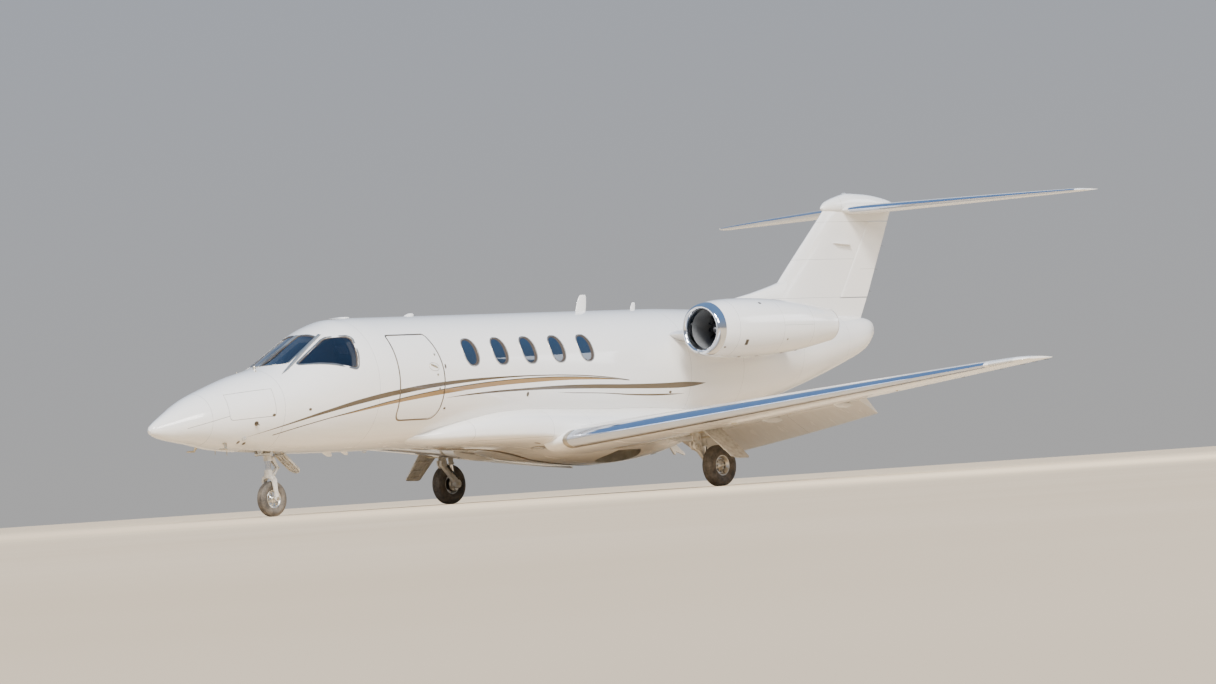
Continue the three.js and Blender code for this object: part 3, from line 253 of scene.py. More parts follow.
def rounded(outline, radius, steps=5):
    """An outline with its corners rounded; radius is one number or one for each corner."""
    radii = radius if isinstance(radius, (list, tuple)) else [radius] * len(outline)
    found = []
    for i, corner in enumerate(outline):
        corner = Vector(corner)
        before = Vector(outline[i - 1]) - corner
        after = Vector(outline[(i + 1) % len(outline)]) - corner
        reach = min(radii[i], before.length * 0.45, after.length * 0.45)
        start = corner + before.normalized() * reach
        end = corner + after.normalized() * reach
        for k in range(steps + 1):
            t = k / steps
            found.append(start * (1 - t) ** 2 + corner * 2 * t * (1 - t) + end * t * t)
    return [tuple(point) for point in found]


def even_on_hull(made):
    """Gives the cut skin the shading of the whole one, so that no window edge dents a highlight."""
    mesh = made.data
    mesh.shade_smooth()
    known = [hull_normal(vert.co) for vert in mesh.vertices]
    normals = []
    for face in mesh.polygons:
        for index in face.vertices:
            facing = known[index].dot(face.normal)
            if abs(facing) < 0.8:
                normals.append(face.normal)
            else:
                normals.append(known[index] if facing > 0 else -known[index])
    mesh.normals_split_custom_set(normals)
    return made


def hull_skin(stations, grow=0.0, sides=112):
    return rolled([[hull_point(s, turn, grow) for turn in turns(sides)] for s in stations])


WINDSCREEN = [(1.83, 0.028), (1.9, 0.17), (2.025, 0.318), (2.56, 0.285), (2.545, 0.16), (2.515, 0.028)]
COCKPIT_WINDOW = [
    (2.090, 0.262), (2.570, 0.546), (2.620, 0.566), (2.860, 0.575), (2.900, 0.545), (2.850, 0.330),
    (2.800, 0.200), (2.765, 0.178), (2.500, 0.246), (2.330, 0.264),
]
CABIN_WINDOWS = {1: [4.77 + 0.525 * n for n in range(5)], -1: [4.245 + 0.525 * n for n in range(6)]}
WINDOW_Z = 0.315
NOSE_WELL = ((1.33, 2.08), (-0.15, 0.15), (-1.2, -0.45))
DOOR = {"front": 3.45, "back": 4.208, "low": -0.475, "high": 0.556, "bevel": 0.5}


def window_oval(station, grow=0.0, sides=32):
    """A cabin window's outline: an upright oval with slightly flattened sides."""
    found = []
    for turn in turns(sides):
        c, s = cos(turn), sin(turn)
        across = (0.122 + grow) * (1 if c > 0 else -1) * abs(c) ** 0.8
        upright = (0.168 + grow) * (1 if s > 0 else -1) * abs(s) ** 0.8
        found.append((station + across, WINDOW_Z + upright))
    return found


def door_prism(grow):
    """The entry door's outline from the tube's middle outwards; its rear edge leans to clear the frame."""
    rings = []
    for y in (0.33, 0.9):
        back = DOOR["back"] - DOOR["bevel"] * (0.82 - y) + grow
        front = DOOR["front"] - grow
        low, high = DOOR["low"] - grow, DOOR["high"] + grow
        corners = [(front, high), (back, high), (back, low), (front, low)]
        rings.append([place(s, y, z) for s, z in rounded(corners, (0.03, 0.04, 0.15, 0.1), 6)])
    return rolled(rings)


BAGGAGE = {"front": (0.96, -0.07), "back": (1.56, -0.025), "drop": 0.33, "out": 0.012, "floor": -0.385}


def baggage_frame():
    """The nose baggage door's hinge ends, and the directions along it, down the skin and outward."""
    out = Vector((0, BAGGAGE["out"], BAGGAGE["out"] / 2))
    front = hull_side(*BAGGAGE["front"]) + out
    back = hull_side(*BAGGAGE["back"]) + out
    middle = (BAGGAGE["front"][0] + BAGGAGE["back"][0]) / 2
    sill = hull_side(middle, BAGGAGE["floor"] + 0.055) + Vector((0, BAGGAGE["out"], 0))
    along = (back - front).normalized()
    down = sill - (front + back) / 2
    down = (down - along * down.dot(along)).normalized()
    return front, along, down, along.cross(down), (back - front).length


def baggage_prism(grow, side):
    front, along, down, through, length = baggage_frame()
    corners = [(-grow, -grow), (length + grow, -grow), (length + grow, BAGGAGE["drop"] + grow),
               (-grow, BAGGAGE["drop"] + grow)]
    outline = [front + along * a + down * b for a, b in rounded(corners, (0.01, 0.01, 0.05, 0.05))]
    return in_mirror(prism(outline, through, -0.18, 0.18), side)


skin_stations = [0, 0.003, 0.006, 0.012, 0.02, 0.034] + spaced(
    (0.05, 0.6, 0.03), (0.6, 3.4, 0.035), (3.4, 8.8, 0.1), (8.8, 13.2, 0.06), (13.2, 13.42, 0.03),
    (13.42, 13.47, 0.008))
cuts = [
    cut(hull_skin(spaced((1.775, 3.4, 0.06), (3.4, 8.715, 0.3)), -WALL),
        block((1.7, 2.171), (-2, 2), (-2, -0.31))),
    shaped(hull_skin(spaced((0.84, 1.64, 0.05)), -NOSE_WALL),
           ("INTERSECT", block((0.8, 1.7), (-2, 2), (-0.385, 2)))),
    hull_skin(spaced((8.79, 12.7, 0.3)), -NOSE_WALL),
    block(*NOSE_WELL),
    door_prism(DOOR_GAP),
]
for side in (1, -1):
    cuts.append(plan_prism(rounded([(s, side * y) for s, y in WINDSCREEN], 0.035), 0.0, 0.9))
    cuts.append(through_side(rounded(COCKPIT_WINDOW, 0.04), side))
    cuts += [through_side(window_oval(station), side, 0.4) for station in CABIN_WINDOWS[side]]
    cuts.append(baggage_prism(DOOR_GAP, side))


# Gloss paint: white enamel under clear lacquer, sprayed over filled and sealed sheet joints.
# The joints stay as hairlines, and skin that faces down turns beige in streaks: partly road and hydraulic
# dust, partly painted shade and painted warm bounce light from the floor.
def add(tree, kind, inputs=(), **settings):
    """Adds a node; its inputs are given as {socket: value or another node's output}."""
    made = tree.nodes.new("ShaderNode" + kind)
    for key, value in settings.items():
        setattr(made, key, value)
    for socket, value in dict(inputs).items():
        if isinstance(value, bpy.types.NodeSocket):
            tree.links.new(value, made.inputs[socket])
        else:
            made.inputs[socket].default_value = value
    return made


def sum_of(tree, what, *values):
    """One arithmetic step on values or sockets."""
    return add(tree, "Math", dict(enumerate(values)), operation=what).outputs[0]


def blended(tree, share, first, second):
    """A colour between two others, by a share from 0 to 1."""
    made = add(tree, "Mix", {0: share, 6: first, 7: second}, data_type="RGBA")
    return made.outputs[2]


def line_at(tree, value, where, half_width):
    """1 on a thin line where the value is near a number, 0 elsewhere."""
    gap = sum_of(tree, "ABSOLUTE", sum_of(tree, "SUBTRACT", value, where))
    return sum_of(tree, "LESS_THAN", gap, half_width)


def between(tree, value, low, high):
    return sum_of(tree, "MULTIPLY", sum_of(tree, "GREATER_THAN", value, low),
                  sum_of(tree, "LESS_THAN", value, high))


def group(name, inputs, outputs):
    """A node group with named sockets: (name, kind, default) rows in, (name, kind) rows out."""
    tree = bpy.data.node_groups.new(name, "ShaderNodeTree")
    for label, kind, default in inputs:
        socket = tree.interface.new_socket(label, in_out="INPUT", socket_type="NodeSocket" + kind)
        if default is not None:
            socket.default_value = default
    for label, kind in outputs:
        tree.interface.new_socket(label, in_out="OUTPUT", socket_type="NodeSocket" + kind)
    given = tree.nodes.new("NodeGroupInput")
    result = tree.nodes.new("NodeGroupOutput")
    return tree, given.outputs, result.inputs


def place_group(tree, made, inputs):
    """Puts a node group into a material and returns its outputs."""
    return add(tree, "Group", inputs, node_tree=made).outputs


def material(name, **constants):
    """A new material; its plain numbers go straight onto the shader's own sockets."""
    made = bpy.data.materials.new(name)
    made.use_nodes = True
    shader = made.node_tree.nodes["Principled BSDF"]
    for socket, value in constants.items():
        shader.inputs[socket.replace("_", " ")].default_value = value
    return made, made.node_tree, shader


def finish(tree, shader, colour, roughness, normal=None):
    """Links a material's varying colour, roughness and surface to its shader."""
    for socket, output in (("Base Color", colour), ("Roughness", roughness), ("Normal", normal)):
        if output:
            tree.links.new(output, shader.inputs[socket])


def object_point(tree):
    return add(tree, "TexCoord").outputs["Object"]


def noise(tree, point, scale, detail=2.0, rough=0.5):
    """Cloudy variation over a piece, around 0.5."""
    return add(tree, "TexNoise",
               {"Vector": point, "Scale": scale, "Detail": detail, "Roughness": rough}).outputs[0]


def ramp(tree, value, low, high, first=0.0, last=1.0):
    """The value brought from one range to another and held at its ends."""
    return add(tree, "MapRange", {0: value, 1: low, 2: high, 3: first, 4: last}).outputs[0]


def scaled(tree, value, gain, base):
    return sum_of(tree, "MULTIPLY_ADD", value, gain, base)


def bumps(tree, height, strength, deep):
    return add(tree, "Bump", {"Height": height, "Strength": strength, "Distance": deep}).outputs[0]


# Station and height of a point, as the sprayer's masking tape is laid out
tree, given, result = group("Stations", [("Point", "Vector", None)], [
    ("Station", "Float"), ("Across", "Float"), ("Height", "Float")])
axes = add(tree, "SeparateXYZ", {0: given["Point"]}).outputs
tree.links.new(sum_of(tree, "SUBTRACT", NOSE_X, axes["X"]), result["Station"])
tree.links.new(sum_of(tree, "ABSOLUTE", axes["Y"]), result["Across"])
tree.links.new(sum_of(tree, "SUBTRACT", axes["Z"], AXIS_Z), result["Height"])
stations_group = tree

# Rows of flush rivets beside each frame and stringer, nearly filled by the paint
tree, given, result = group("Rivet rows",
                            [("Along", "Float", 0.0), ("Across", "Float", 0.0), ("Pitch", "Float", 0.5)],
                            [("Rivet", "Float")])
row = sum_of(tree, "PINGPONG", given["Along"], sum_of(tree, "MULTIPLY", given["Pitch"], 0.5))
near_row = sum_of(tree, "LESS_THAN", row, 0.003)
spot = sum_of(tree, "PINGPONG", given["Across"], 0.0125)
tree.links.new(sum_of(tree, "MULTIPLY", near_row, sum_of(tree, "LESS_THAN", spot, 0.003)), result["Rivet"])
rivets_group = tree

WHITE = (0.84, 0.82, 0.785, 1)

# Lacquered enamel: colour, gloss and surface from a seam mask, rivets and the surface's own direction
tree, given, result = group("Lacquered enamel", [
    ("Point", "Vector", None), ("Tint", "Color", WHITE), ("Seam", "Float", 0.0),
    ("Rivet", "Float", 0.0)], [("Color", "Color"), ("Roughness", "Float"), ("Normal", "Vector")])
shade = scaled(tree, noise(tree, given["Point"], 0.9, 3.0), 0.05, 0.955)
base = add(tree, "VectorMath", {0: given["Tint"], "Scale": shade}, operation="SCALE").outputs[0]
# Down-facing skin is tinted beige in streaks: dust, plus painted shade and painted floor bounce on the
# underside
facing = add(tree, "SeparateXYZ", {0: add(tree, "NewGeometry").outputs["Normal"]}).outputs["Z"]
down = ramp(tree, facing, -0.2, -0.95)
streaks = add(tree, "Mapping", {0: given["Point"], 3: (0.35, 6.0, 3.0)}).outputs[0]
streak = noise(tree, streaks, 2.2, 5.0, 0.6)
underside_dust_and_shade = sum_of(tree, "MULTIPLY", down, ramp(tree, streak, 0.4, 0.85, 0.04, 0.3))
dusted_and_shaded = blended(tree, underside_dust_and_shade, base, (0.43, 0.36, 0.27, 1))
dark = blended(tree, sum_of(tree, "MULTIPLY", given["Seam"], 0.72), dusted_and_shaded, (0.1, 0.09, 0.08, 1))
seen = blended(tree, sum_of(tree, "MULTIPLY", given["Rivet"], 0.16), dark, (0.35, 0.33, 0.3, 1))
tree.links.new(seen, result["Color"])
rough = scaled(tree, noise(tree, given["Point"], 7.0, 4.0), 0.09, 0.13)
tree.links.new(sum_of(tree, "ADD", rough, sum_of(tree, "MULTIPLY", underside_dust_and_shade, 0.6)), result["Roughness"])
ripple = noise(tree, given["Point"], 260.0, 1.0)
sheet = noise(tree, given["Point"], 2.6, 1.0)
height = scaled(tree, ripple, 0.00001, sum_of(tree, "MULTIPLY", sheet, 0.0016))
sunk = sum_of(tree, "SUBTRACT", height, sum_of(tree, "MULTIPLY", given["Seam"], 0.0008))
sunk = sum_of(tree, "SUBTRACT", sunk, sum_of(tree, "MULTIPLY", given["Rivet"], 0.00012))
tree.links.new(bumps(tree, sunk, 0.5, 1.0), result["Normal"])
enamel_group = tree

# Painted bands: taupe and gold lines with sharp masked edges, swept along each side and over the doors.
# Rows: station, upper edge, lower edge.
BANDS = {
    "taupe": [
        (1.155, -0.602, -0.602), (1.74, -0.455, -0.472), (2.33, -0.307, -0.347), (2.91, -0.184, -0.243),
        (3.5, -0.102, -0.163), (4.09, -0.047, -0.1), (4.67, -0.018, -0.058), (5.26, -0.006, -0.03),
        (5.85, -0.006, -0.02), (6.43, -0.018, -0.031), (7.02, -0.052, -0.065), (7.6, -0.117, -0.118),
    ],
    "gold": [
        (1.59, -0.573, -0.573), (2.19, -0.441, -0.447), (2.79, -0.328, -0.355), (3.39, -0.226, -0.274),
        (4.0, -0.147, -0.211), (4.6, -0.09, -0.157), (5.2, -0.053, -0.119), (5.8, -0.036, -0.098),
        (6.4, -0.04, -0.088), (7.0, -0.068, -0.098), (7.6, -0.117, -0.118),
    ],
    "dark": [
        (4.26, -0.238, -0.24), (4.93, -0.187, -0.21), (5.62, -0.165, -0.195), (6.32, -0.15, -0.198),
        (6.88, -0.154, -0.208), (7.58, -0.173, -0.23), (8.28, -0.18, -0.248), (8.65, -0.177, -0.25),
        (9.1, -0.2, -0.201),
    ],
    "fine": [
        (6.25, -0.235, -0.235), (6.61, -0.248, -0.258), (6.91, -0.258, -0.268), (7.26, -0.274, -0.286),
        (7.63, -0.297, -0.314), (7.98, -0.309, -0.332), (8.35, -0.318, -0.338), (8.7, -0.325, -0.326),
    ],
}


def edge_curve(tree, share, rows, column):
    """A band's edge as a curve of height over station, both scaled to run from 0 to 1."""
    made = add(tree, "FloatCurve", {"Value": share})
    curve = made.mapping.curves[0]
    while len(curve.points) < len(rows):
        curve.points.new(0.5, 0.5)
    for point, row in zip(curve.points, rows):
        point.location = (row[0] / 10, row[column] + 1)
    made.mapping.update()
    return made.outputs[0]


tree, given, result = group("Painted bands", [("Station", "Float", 0.0), ("Height", "Float", 0.0)],
                            [(name, "Float") for name in [*BANDS, "rim"]])
share = sum_of(tree, "DIVIDE", given["Station"], 10.0)
level = sum_of(tree, "ADD", given["Height"], 1.0)
for name, rows in BANDS.items():
    top, low = edge_curve(tree, share, rows, 1), edge_curve(tree, share, rows, 2)
    inside = between(tree, level, low, top)
    reach = between(tree, given["Station"], rows[0][0], rows[-1][0])
    tree.links.new(sum_of(tree, "MULTIPLY", inside, reach), result[name])
    if name == "gold":
        upper = between(tree, level, sum_of(tree, "SUBTRACT", top, 0.012), top)
        tree.links.new(sum_of(tree, "MULTIPLY", upper, reach), result["rim"])
bands_group = tree

TAUPE = (0.085, 0.06, 0.034, 1)
GOLD = (0.27, 0.165, 0.07, 1)
UMBER = (0.045, 0.032, 0.02, 1)


def enamelled(name):
    """An empty enamel: the material, its tree and shader, and a point's place on the aircraft."""
    made, tree, shader = material(name, Coat_Weight=0.6, Coat_Roughness=0.04, IOR=1.5)
    point = object_point(tree)
    return made, tree, shader, point, place_group(tree, stations_group, {"Point": point})


def lacquered(tree, shader, point, tint, joint, rivet):
    coat = place_group(tree, enamel_group,
                       {"Point": point, "Tint": tint, "Seam": joint, "Rivet": rivet["Rivet"]})
    finish(tree, shader, coat["Color"], coat["Roughness"], coat["Normal"])


def banded_paint(name, rings=(), seam=None):
    """White enamel with the bands; rings are stations of sheet joints, seam a crease from end to end."""
    made, tree, shader, point, at = enamelled(name)
    masks = place_group(tree, bands_group, {"Station": at["Station"], "Height": at["Height"]})
    joint = line_at(tree, at["Station"], rings[0], 0.0016) if rings else 0.0
    for ring in rings[1:]:
        joint = sum_of(tree, "MAXIMUM", joint, line_at(tree, at["Station"], ring, 0.0016))
    if seam:
        (s0, z0), (s1, z1) = seam
        rise = (z1 - z0) / (s1 - s0)
        along = scaled(tree, at["Station"], -rise, at["Height"])
        crease = line_at(tree, along, z0 - rise * s0, 0.004)
        crease = sum_of(tree, "MULTIPLY", crease, between(tree, at["Station"], s0, s1))
        joint = sum_of(tree, "MAXIMUM", joint, crease)
    rivet = place_group(tree, rivets_group, {"Along": at["Station"], "Across": at["Height"], "Pitch": 0.48})
    tint = blended(tree, masks["taupe"], WHITE, TAUPE)
    tint = blended(tree, masks["gold"], tint, GOLD)
    tint = blended(tree, masks["rim"], tint, UMBER)
    tint = blended(tree, masks["dark"], tint, TAUPE)
    tint = blended(tree, masks["fine"], tint, TAUPE)
    lacquered(tree, shader, point, tint, joint, rivet)
    return made


def plain_paint(name, lines=()):
    """White enamel; each seam is a row: an axis, its place there, the other axis and its two ends on that."""
    made, tree, shader, point, at = enamelled(name)
    joint = 0.0
    for axis, where, other, low, high in lines:
        line = sum_of(tree, "MULTIPLY", line_at(tree, at[axis], where, 0.0018),
                      between(tree, at[other], low, high))
        joint = sum_of(tree, "MAXIMUM", joint, line)
    rivet = place_group(tree, rivets_group, {"Along": at["Across"], "Across": at["Station"], "Pitch": 0.42})
    lacquered(tree, shader, point, WHITE, joint, rivet)
    return made


hull_paint = banded_paint("Fuselage paint", rings=(0.72, 1.69, 3.1, 8.8, 9.9, 11.35, 12.6),
                          seam=((0.411, -0.444), (1.095, -0.291)))
even_on_hull(piece("fuselage_skin", cut(hull_skin(skin_stations), *cuts), hull_paint, sharp=None,
                   stands_for=("radome", "nose_bay", "cabin_shell", "tail_cone"), slot="white_paint"))


# Entry door: one thick panel on the port side, hinged at its front edge on a vertical pin.
# Its outer sheet follows the fuselage; a hollow of 85 mm holds the frames and the trim.
door_paint = banded_paint("Door paint")
door_shell = shaped(cut(hull_skin(spaced((3.3, 4.4, 0.05))), hull_skin(spaced((3.25, 4.45, 0.1)), -WALL)),
                    ("INTERSECT", door_prism(0.0)))
even_on_hull(piece("entry_door_panel", door_shell, door_paint, sharp=None, body="entry_door",
                   stands_for=("entry_door",), slot="white_paint"))


# Nose baggage doors: one each side, hinged along the upper edge, curved with the nose.
SIDES = ((1, "left"), (-1, "right"))
for side, name in SIDES:
    lid = shaped(cut(hull_skin(spaced((0.7, 1.75, 0.035))),
                     hull_skin(spaced((0.65, 1.8, 0.035)), -NOSE_WALL)),
                 ("INTERSECT", baggage_prism(0.0, side)))
    even_on_hull(piece(f"baggage_door_{name}_panel", lid, door_paint, sharp=None, body=f"baggage_door_{name}",
                       stands_for=(f"baggage_door_{name}",), slot="white_paint"))


# Window panes: stretched acrylic and laminated glass, tinted blue, set 6 mm inside the skin.
# Each pane follows the curve of the fuselage and sits in a polished metal frame.
def glass(name, tint, alpha):
    """Tinted glazing: clear face on, darker and more mirror-like at a slant, with wiping marks and dust."""
    made, tree, shader = material(name, Coat_Weight=1.0, Coat_Roughness=0.02, IOR=1.52)
    point = object_point(tree)
    darker = tuple(0.55 * value for value in tint[:3]) + (1,)
    finish(tree, shader, blended(tree, noise(tree, point, 3.0, 4.0), tint, darker),
           scaled(tree, noise(tree, point, 26.0, 3.0), 0.05, 0.015))
    slant = add(tree, "LayerWeight", {"Blend": 0.35}).outputs["Facing"]
    tree.links.new(ramp(tree, slant, 0.15, 0.9, alpha, 0.96), shader.inputs["Alpha"])
    return made


def bright_metal(name, colour, low, high, scale=(1, 1, 1)):
    """Metal with a worked surface: fine lines or scuffs that break up its shine."""
    made, tree, shader = material(name, Metallic=1.0)
    point = object_point(tree)
    lines = noise(tree, add(tree, "Mapping", {0: point, 3: scale}).outputs[0], 30.0, 6.0, 0.65)
    darker = tuple(0.78 * value for value in colour[:3]) + (1,)
    finish(tree, shader, blended(tree, noise(tree, point, 4.0, 3.0), colour, darker),
           ramp(tree, lines, 0.25, 0.8, low, high), bumps(tree, lines, 0.05, 0.002))
    return made


def speckled(name, first, second, grain, gloss, **constants):
    """A mottle of two colours; grain is its scale and detail, gloss the roughness' gain and base."""
    made, tree, shader = material(name, **constants)
    mottle = noise(tree, object_point(tree), *grain)
    finish(tree, shader, blended(tree, mottle, first, second), scaled(tree, mottle, *gloss))
    return made


def swept(path, section, closed=True):
    """A bar along (point, outward, sideways) rows; section is (sideways, outward) pairs, or one per row."""
    rings = []
    for i, (point, outward, sideways) in enumerate(path):
        shape = section[i] if isinstance(section[0][0], (list, tuple)) else section
        rings.append([point + sideways * a + outward * b for a, b in shape])
    if closed:
        rings.append(rings[0])
    return rolled(rings, closed=not closed)


def on_hull(points, closed=True):
    """Rows for swept() along points of the fuselage skin."""
    return along_outline(points, [hull_normal(point) for point in points], closed)


def along_outline(points, normals, closed=True):
    """Rows for swept() round an outline on the skin, sideways pointing out of the opening."""
    count = len(points)
    rows = []
    for i in range(count):
        before = points[i - 1] if closed or i else points[i]
        after = points[(i + 1) % count] if closed or i + 1 < count else points[i]
        rows.append((points[i], normals[i], (after - before).normalized().cross(normals[i]).normalized()))
    if closed:
        centre = sum(points, Vector()) / count
        if rows[0][2].dot(points[0] - centre) < 0:
            rows = [(point, normal, -sideways) for point, normal, sideways in rows]
    return rows


def framed(name, points, width, metal, deep=0.016, proud=0.004):
    """A metal frame round an opening in the fuselage skin, with softly rounded edges."""
    section = [(-0.002, -deep), (-0.002, proud * 0.6), (0.001, proud), (width - 0.002, proud),
               (width, proud * 0.5), (width, -0.003), (0.004, -0.004)]
    return piece(name, swept(on_hull(points), section), metal)


def sealed_with_recess_shade(name, points, front, back, seal):
    """A dark seal from the frame down to the pane, as wide as front says and wider towards the back edge;
    that extra dark width at the rear is painted shade of the recess.
    """
    middle = sum(point.x for point in points) / len(points)
    half = max(abs(point.x - middle) for point in points)
    sections = []
    for point in points:
        width = front + (back - front) * max(0.0, (middle - point.x) / half)
        sections.append([(0.001, 0.0005), (-0.5 * width, -0.002), (-width, -0.0045),
                         (-width - 0.002, -0.0075), (0.001, -0.0075)])
    return piece(name, swept(on_hull(points), sections), seal)


window_glass = glass("Cabin glass", (0.016, 0.034, 0.066, 1), 0.8)
cockpit_glass = glass("Cockpit glass", (0.003, 0.009, 0.024, 1), 0.5)
frame_metal = bright_metal("Window frame metal", (0.47, 0.43, 0.37, 1), 0.28, 0.46)
# The seal's dark brown is the rubber's own colour, and its wider rear part is painted shade of the window
# recess
seal_rubber_and_recess_shade = speckled("Window seal and painted recess shade", (0.03, 0.022, 0.016, 1), (0.085, 0.062, 0.045, 1), (180.0, 3.0),
                       (0.25, 0.5), Specular_IOR_Level=0.4)


def merged(parts):
    """Several bmeshes as one."""
    whole = bmesh.new()
    for part in parts:
        mesh = bpy.data.meshes.new("part")
        part.to_mesh(mesh)
        part.free()
        whole.from_mesh(mesh)
        bpy.data.meshes.remove(mesh)
    return whole


def hull_roof(station, y, grow=0.0):
    """The point of the upper skin at a station and a distance from the middle."""
    top, bottom, half, waist = smooth_row(FUSELAGE, station)
    spot = place(station, y, waist + (top - waist) * sqrt(max(0.0, 1 - (y / half) ** 2)))
    return spot + hull_normal(spot) * grow


def pane_of(name, cutter, reach, glazing, replaced, past=0.05):
    """A curved pane 12 mm thick, cut from a sheet that follows the skin 6 mm inside it."""
    bm = shaped(cut(hull_skin(reach, -0.006), hull_skin([reach[0] - past, *reach, reach[-1] + past], -0.018)),
                ("INTERSECT", cutter))
    even_on_hull(piece(name, bm, glazing, sharp=None, stands_for=(replaced,), slot="glass"))


front_reach = spaced((1.7, 3.0, 0.035))
for side, name in SIDES:
    plan = rounded([(s, side * y) for s, y in WINDSCREEN], 0.035)
    pane_of(f"windscreen_{name}", plan_prism(plan, 0.0, 0.9), front_reach, cockpit_glass,
            f"windshield_{name}")
    outline = rounded(COCKPIT_WINDOW, 0.04)
    pane_of(f"cockpit_window_{name}", through_side(outline, side), front_reach, cockpit_glass,
            f"side_window_{name}")
    roof_points = [hull_roof(s, y) for s, y in plan]
    side_points = [hull_side(s, z, side) for s, z in outline]
    framed(f"windscreen_frame_{name}", roof_points, 0.02, frame_metal)
    framed(f"cockpit_window_frame_{name}", side_points, 0.026, frame_metal)
    sealed_with_recess_shade(f"windscreen_seal_and_shade_{name}", roof_points, 0.01, 0.014, seal_rubber_and_recess_shade)
    sealed_with_recess_shade(f"cockpit_window_seal_and_shade_{name}", side_points, 0.01, 0.03, seal_rubber_and_recess_shade)

    # cabin windows: one oval pane each, in a metal rim with a dark seal inside it, widened at the rear as
    # painted shade of the recess
    stations = CABIN_WINDOWS[side]
    for station in stations:
        rim = [hull_side(s, z, side) for s, z in window_oval(station, sides=48)]
        framed(f"cabin_window_rim_{name}_{round(station * 100)}", rim, 0.014, frame_metal, 0.075)
        sealed_with_recess_shade(f"cabin_window_seal_{name}_{round(station * 100)}", rim, 0.012, 0.04, seal_rubber_and_recess_shade)
    ovals = merged([through_side(window_oval(station), side, 0.4) for station in stations])
    pane_of(f"cabin_window_panes_{name}", ovals, spaced((stations[0] - 0.2, stations[-1] + 0.2, 0.175)),
            window_glass, f"cabin_windows_{name}", 0.1)


# Windscreen posts: polished straps that clamp the edges of the panes.
# The side post runs down to a point on the nose; the middle one covers the joint of the two panes.
post_metal = bright_metal("Post metal", (0.72, 0.66, 0.56, 1), 0.34, 0.52)
strap_edge = [(-1.0, -0.004), (-1.0, 0.004), (-0.8, 0.007), (0.8, 0.007), (1.0, 0.004), (1.0, -0.004)]
for side, name in SIDES:
    line = [(1.835, 0.412), (1.88, 0.405), (1.95, 0.392), (2.08, 0.371), (2.25, 0.345), (2.42, 0.322),
            (2.62, 0.3)]
    rows = on_hull([hull_roof(s, side * y) for s, y in line], closed=False)
    widths = [0.002, 0.01, 0.018, 0.024, 0.026, 0.026, 0.024]
    sections = [[(a * width, b * min(1.0, width / 0.012)) for a, b in strap_edge] for width in widths]
    piece(f"side_post_{name}", swept(rows, sections, closed=False), post_metal)
rows = on_hull([hull_roof(s, 0.0) for s in spaced((1.8, 2.53, 0.05))], closed=False)
piece("middle_post", swept(rows, [(0.03 * a, b) for a, b in strap_edge], closed=False), post_metal)


# Belly fairing: a moulded shell round the wing's joint, fuller under the wheels' bays.
# Rows: station, half width, height of the widest point, rise above it, drop below it.
FAIRING = [
    (3.850, 0.360, -0.700, 0.030, 0.060),
    (4.100, 0.530, -0.690, 0.060, 0.115),
    (4.300, 0.640, -0.690, 0.130, 0.140),
    (4.700, 0.790, -0.690, 0.220, 0.155),
    (5.300, 0.930, -0.700, 0.320, 0.175),
    (5.700, 0.985, -0.715, 0.350, 0.185),
    (6.150, 1.015, -0.740, 0.370, 0.230),
    (6.600, 1.028, -0.775, 0.385, 0.300),
    (7.600, 1.020, -0.820, 0.400, 0.350),
    (8.200, 0.960, -0.800, 0.370, 0.320),
    (9.000, 0.780, -0.740, 0.270, 0.200),
    (9.800, 0.500, -0.660, 0.130, 0.120),
    (10.400, 0.150, -0.590, 0.040, 0.040),
]
WHEEL_BAY = {"station": 7.4, "y": 0.7, "radius": 0.3, "roof": -1.01}


def fat(value):
    return (1 if value > 0 else -1) * abs(value) ** (2 / 2.6)


def fairing_point(station, angle, grow=0.0):
    half, waist, rise, drop = smooth_row(FAIRING, station)
    reach = (rise if sin(angle) > 0 else drop) + grow
    return place(station, (half + grow) * fat(cos(angle)), waist + reach * fat(sin(angle)))


def fairing_bottom(station, y, grow=0.0):
    half, waist, rise, drop = smooth_row(FAIRING, station)
    share = max(0.0, 1 - (abs(y) / half) ** 2.6)
    return place(station, y, waist - (drop + grow) * share ** (1 / 2.6))


rings = [[fairing_point(s, turn) for turn in turns(96)] for s in spaced((3.85, 10.4, 0.075))]
bays = []
for side in (1, -1):
    hole = bmesh.new()
    bmesh.ops.create_cone(hole, cap_ends=True, segments=64, radius1=WHEEL_BAY["radius"],
                          radius2=WHEEL_BAY["radius"], depth=0.6)
    centre = place(WHEEL_BAY["station"], side * WHEEL_BAY["y"], WHEEL_BAY["roof"] - 0.3)
    bmesh.ops.translate(hole, verts=hole.verts, vec=centre)
    bays.append(hole)
fairing_paint = plain_paint("Fairing paint", [
    ("Station", 4.72, "Across", 0.0, 1.1), ("Station", 5.93, "Across", 0.0, 1.1),
    ("Station", 6.62, "Across", 0.0, 1.1),
    ("Station", 8.15, "Across", 0.0, 1.1), ("Station", 9.05, "Across", 0.0, 1.1),
    ("Across", 0.42, "Station", 6.62, 8.15),
    ("Height", -0.79, "Station", 4.72, 5.93)])
fairing = cut(rolled(rings), hull_skin(spaced((3.3, 11.2, 0.1)), 0.001), *bays)
piece("belly_fairing", fairing, fairing_paint, sharp=28, stands_for=("wing_fairing",), slot="white_paint")


def off(point, x, y, z):
    return point + Vector((x, y, z))


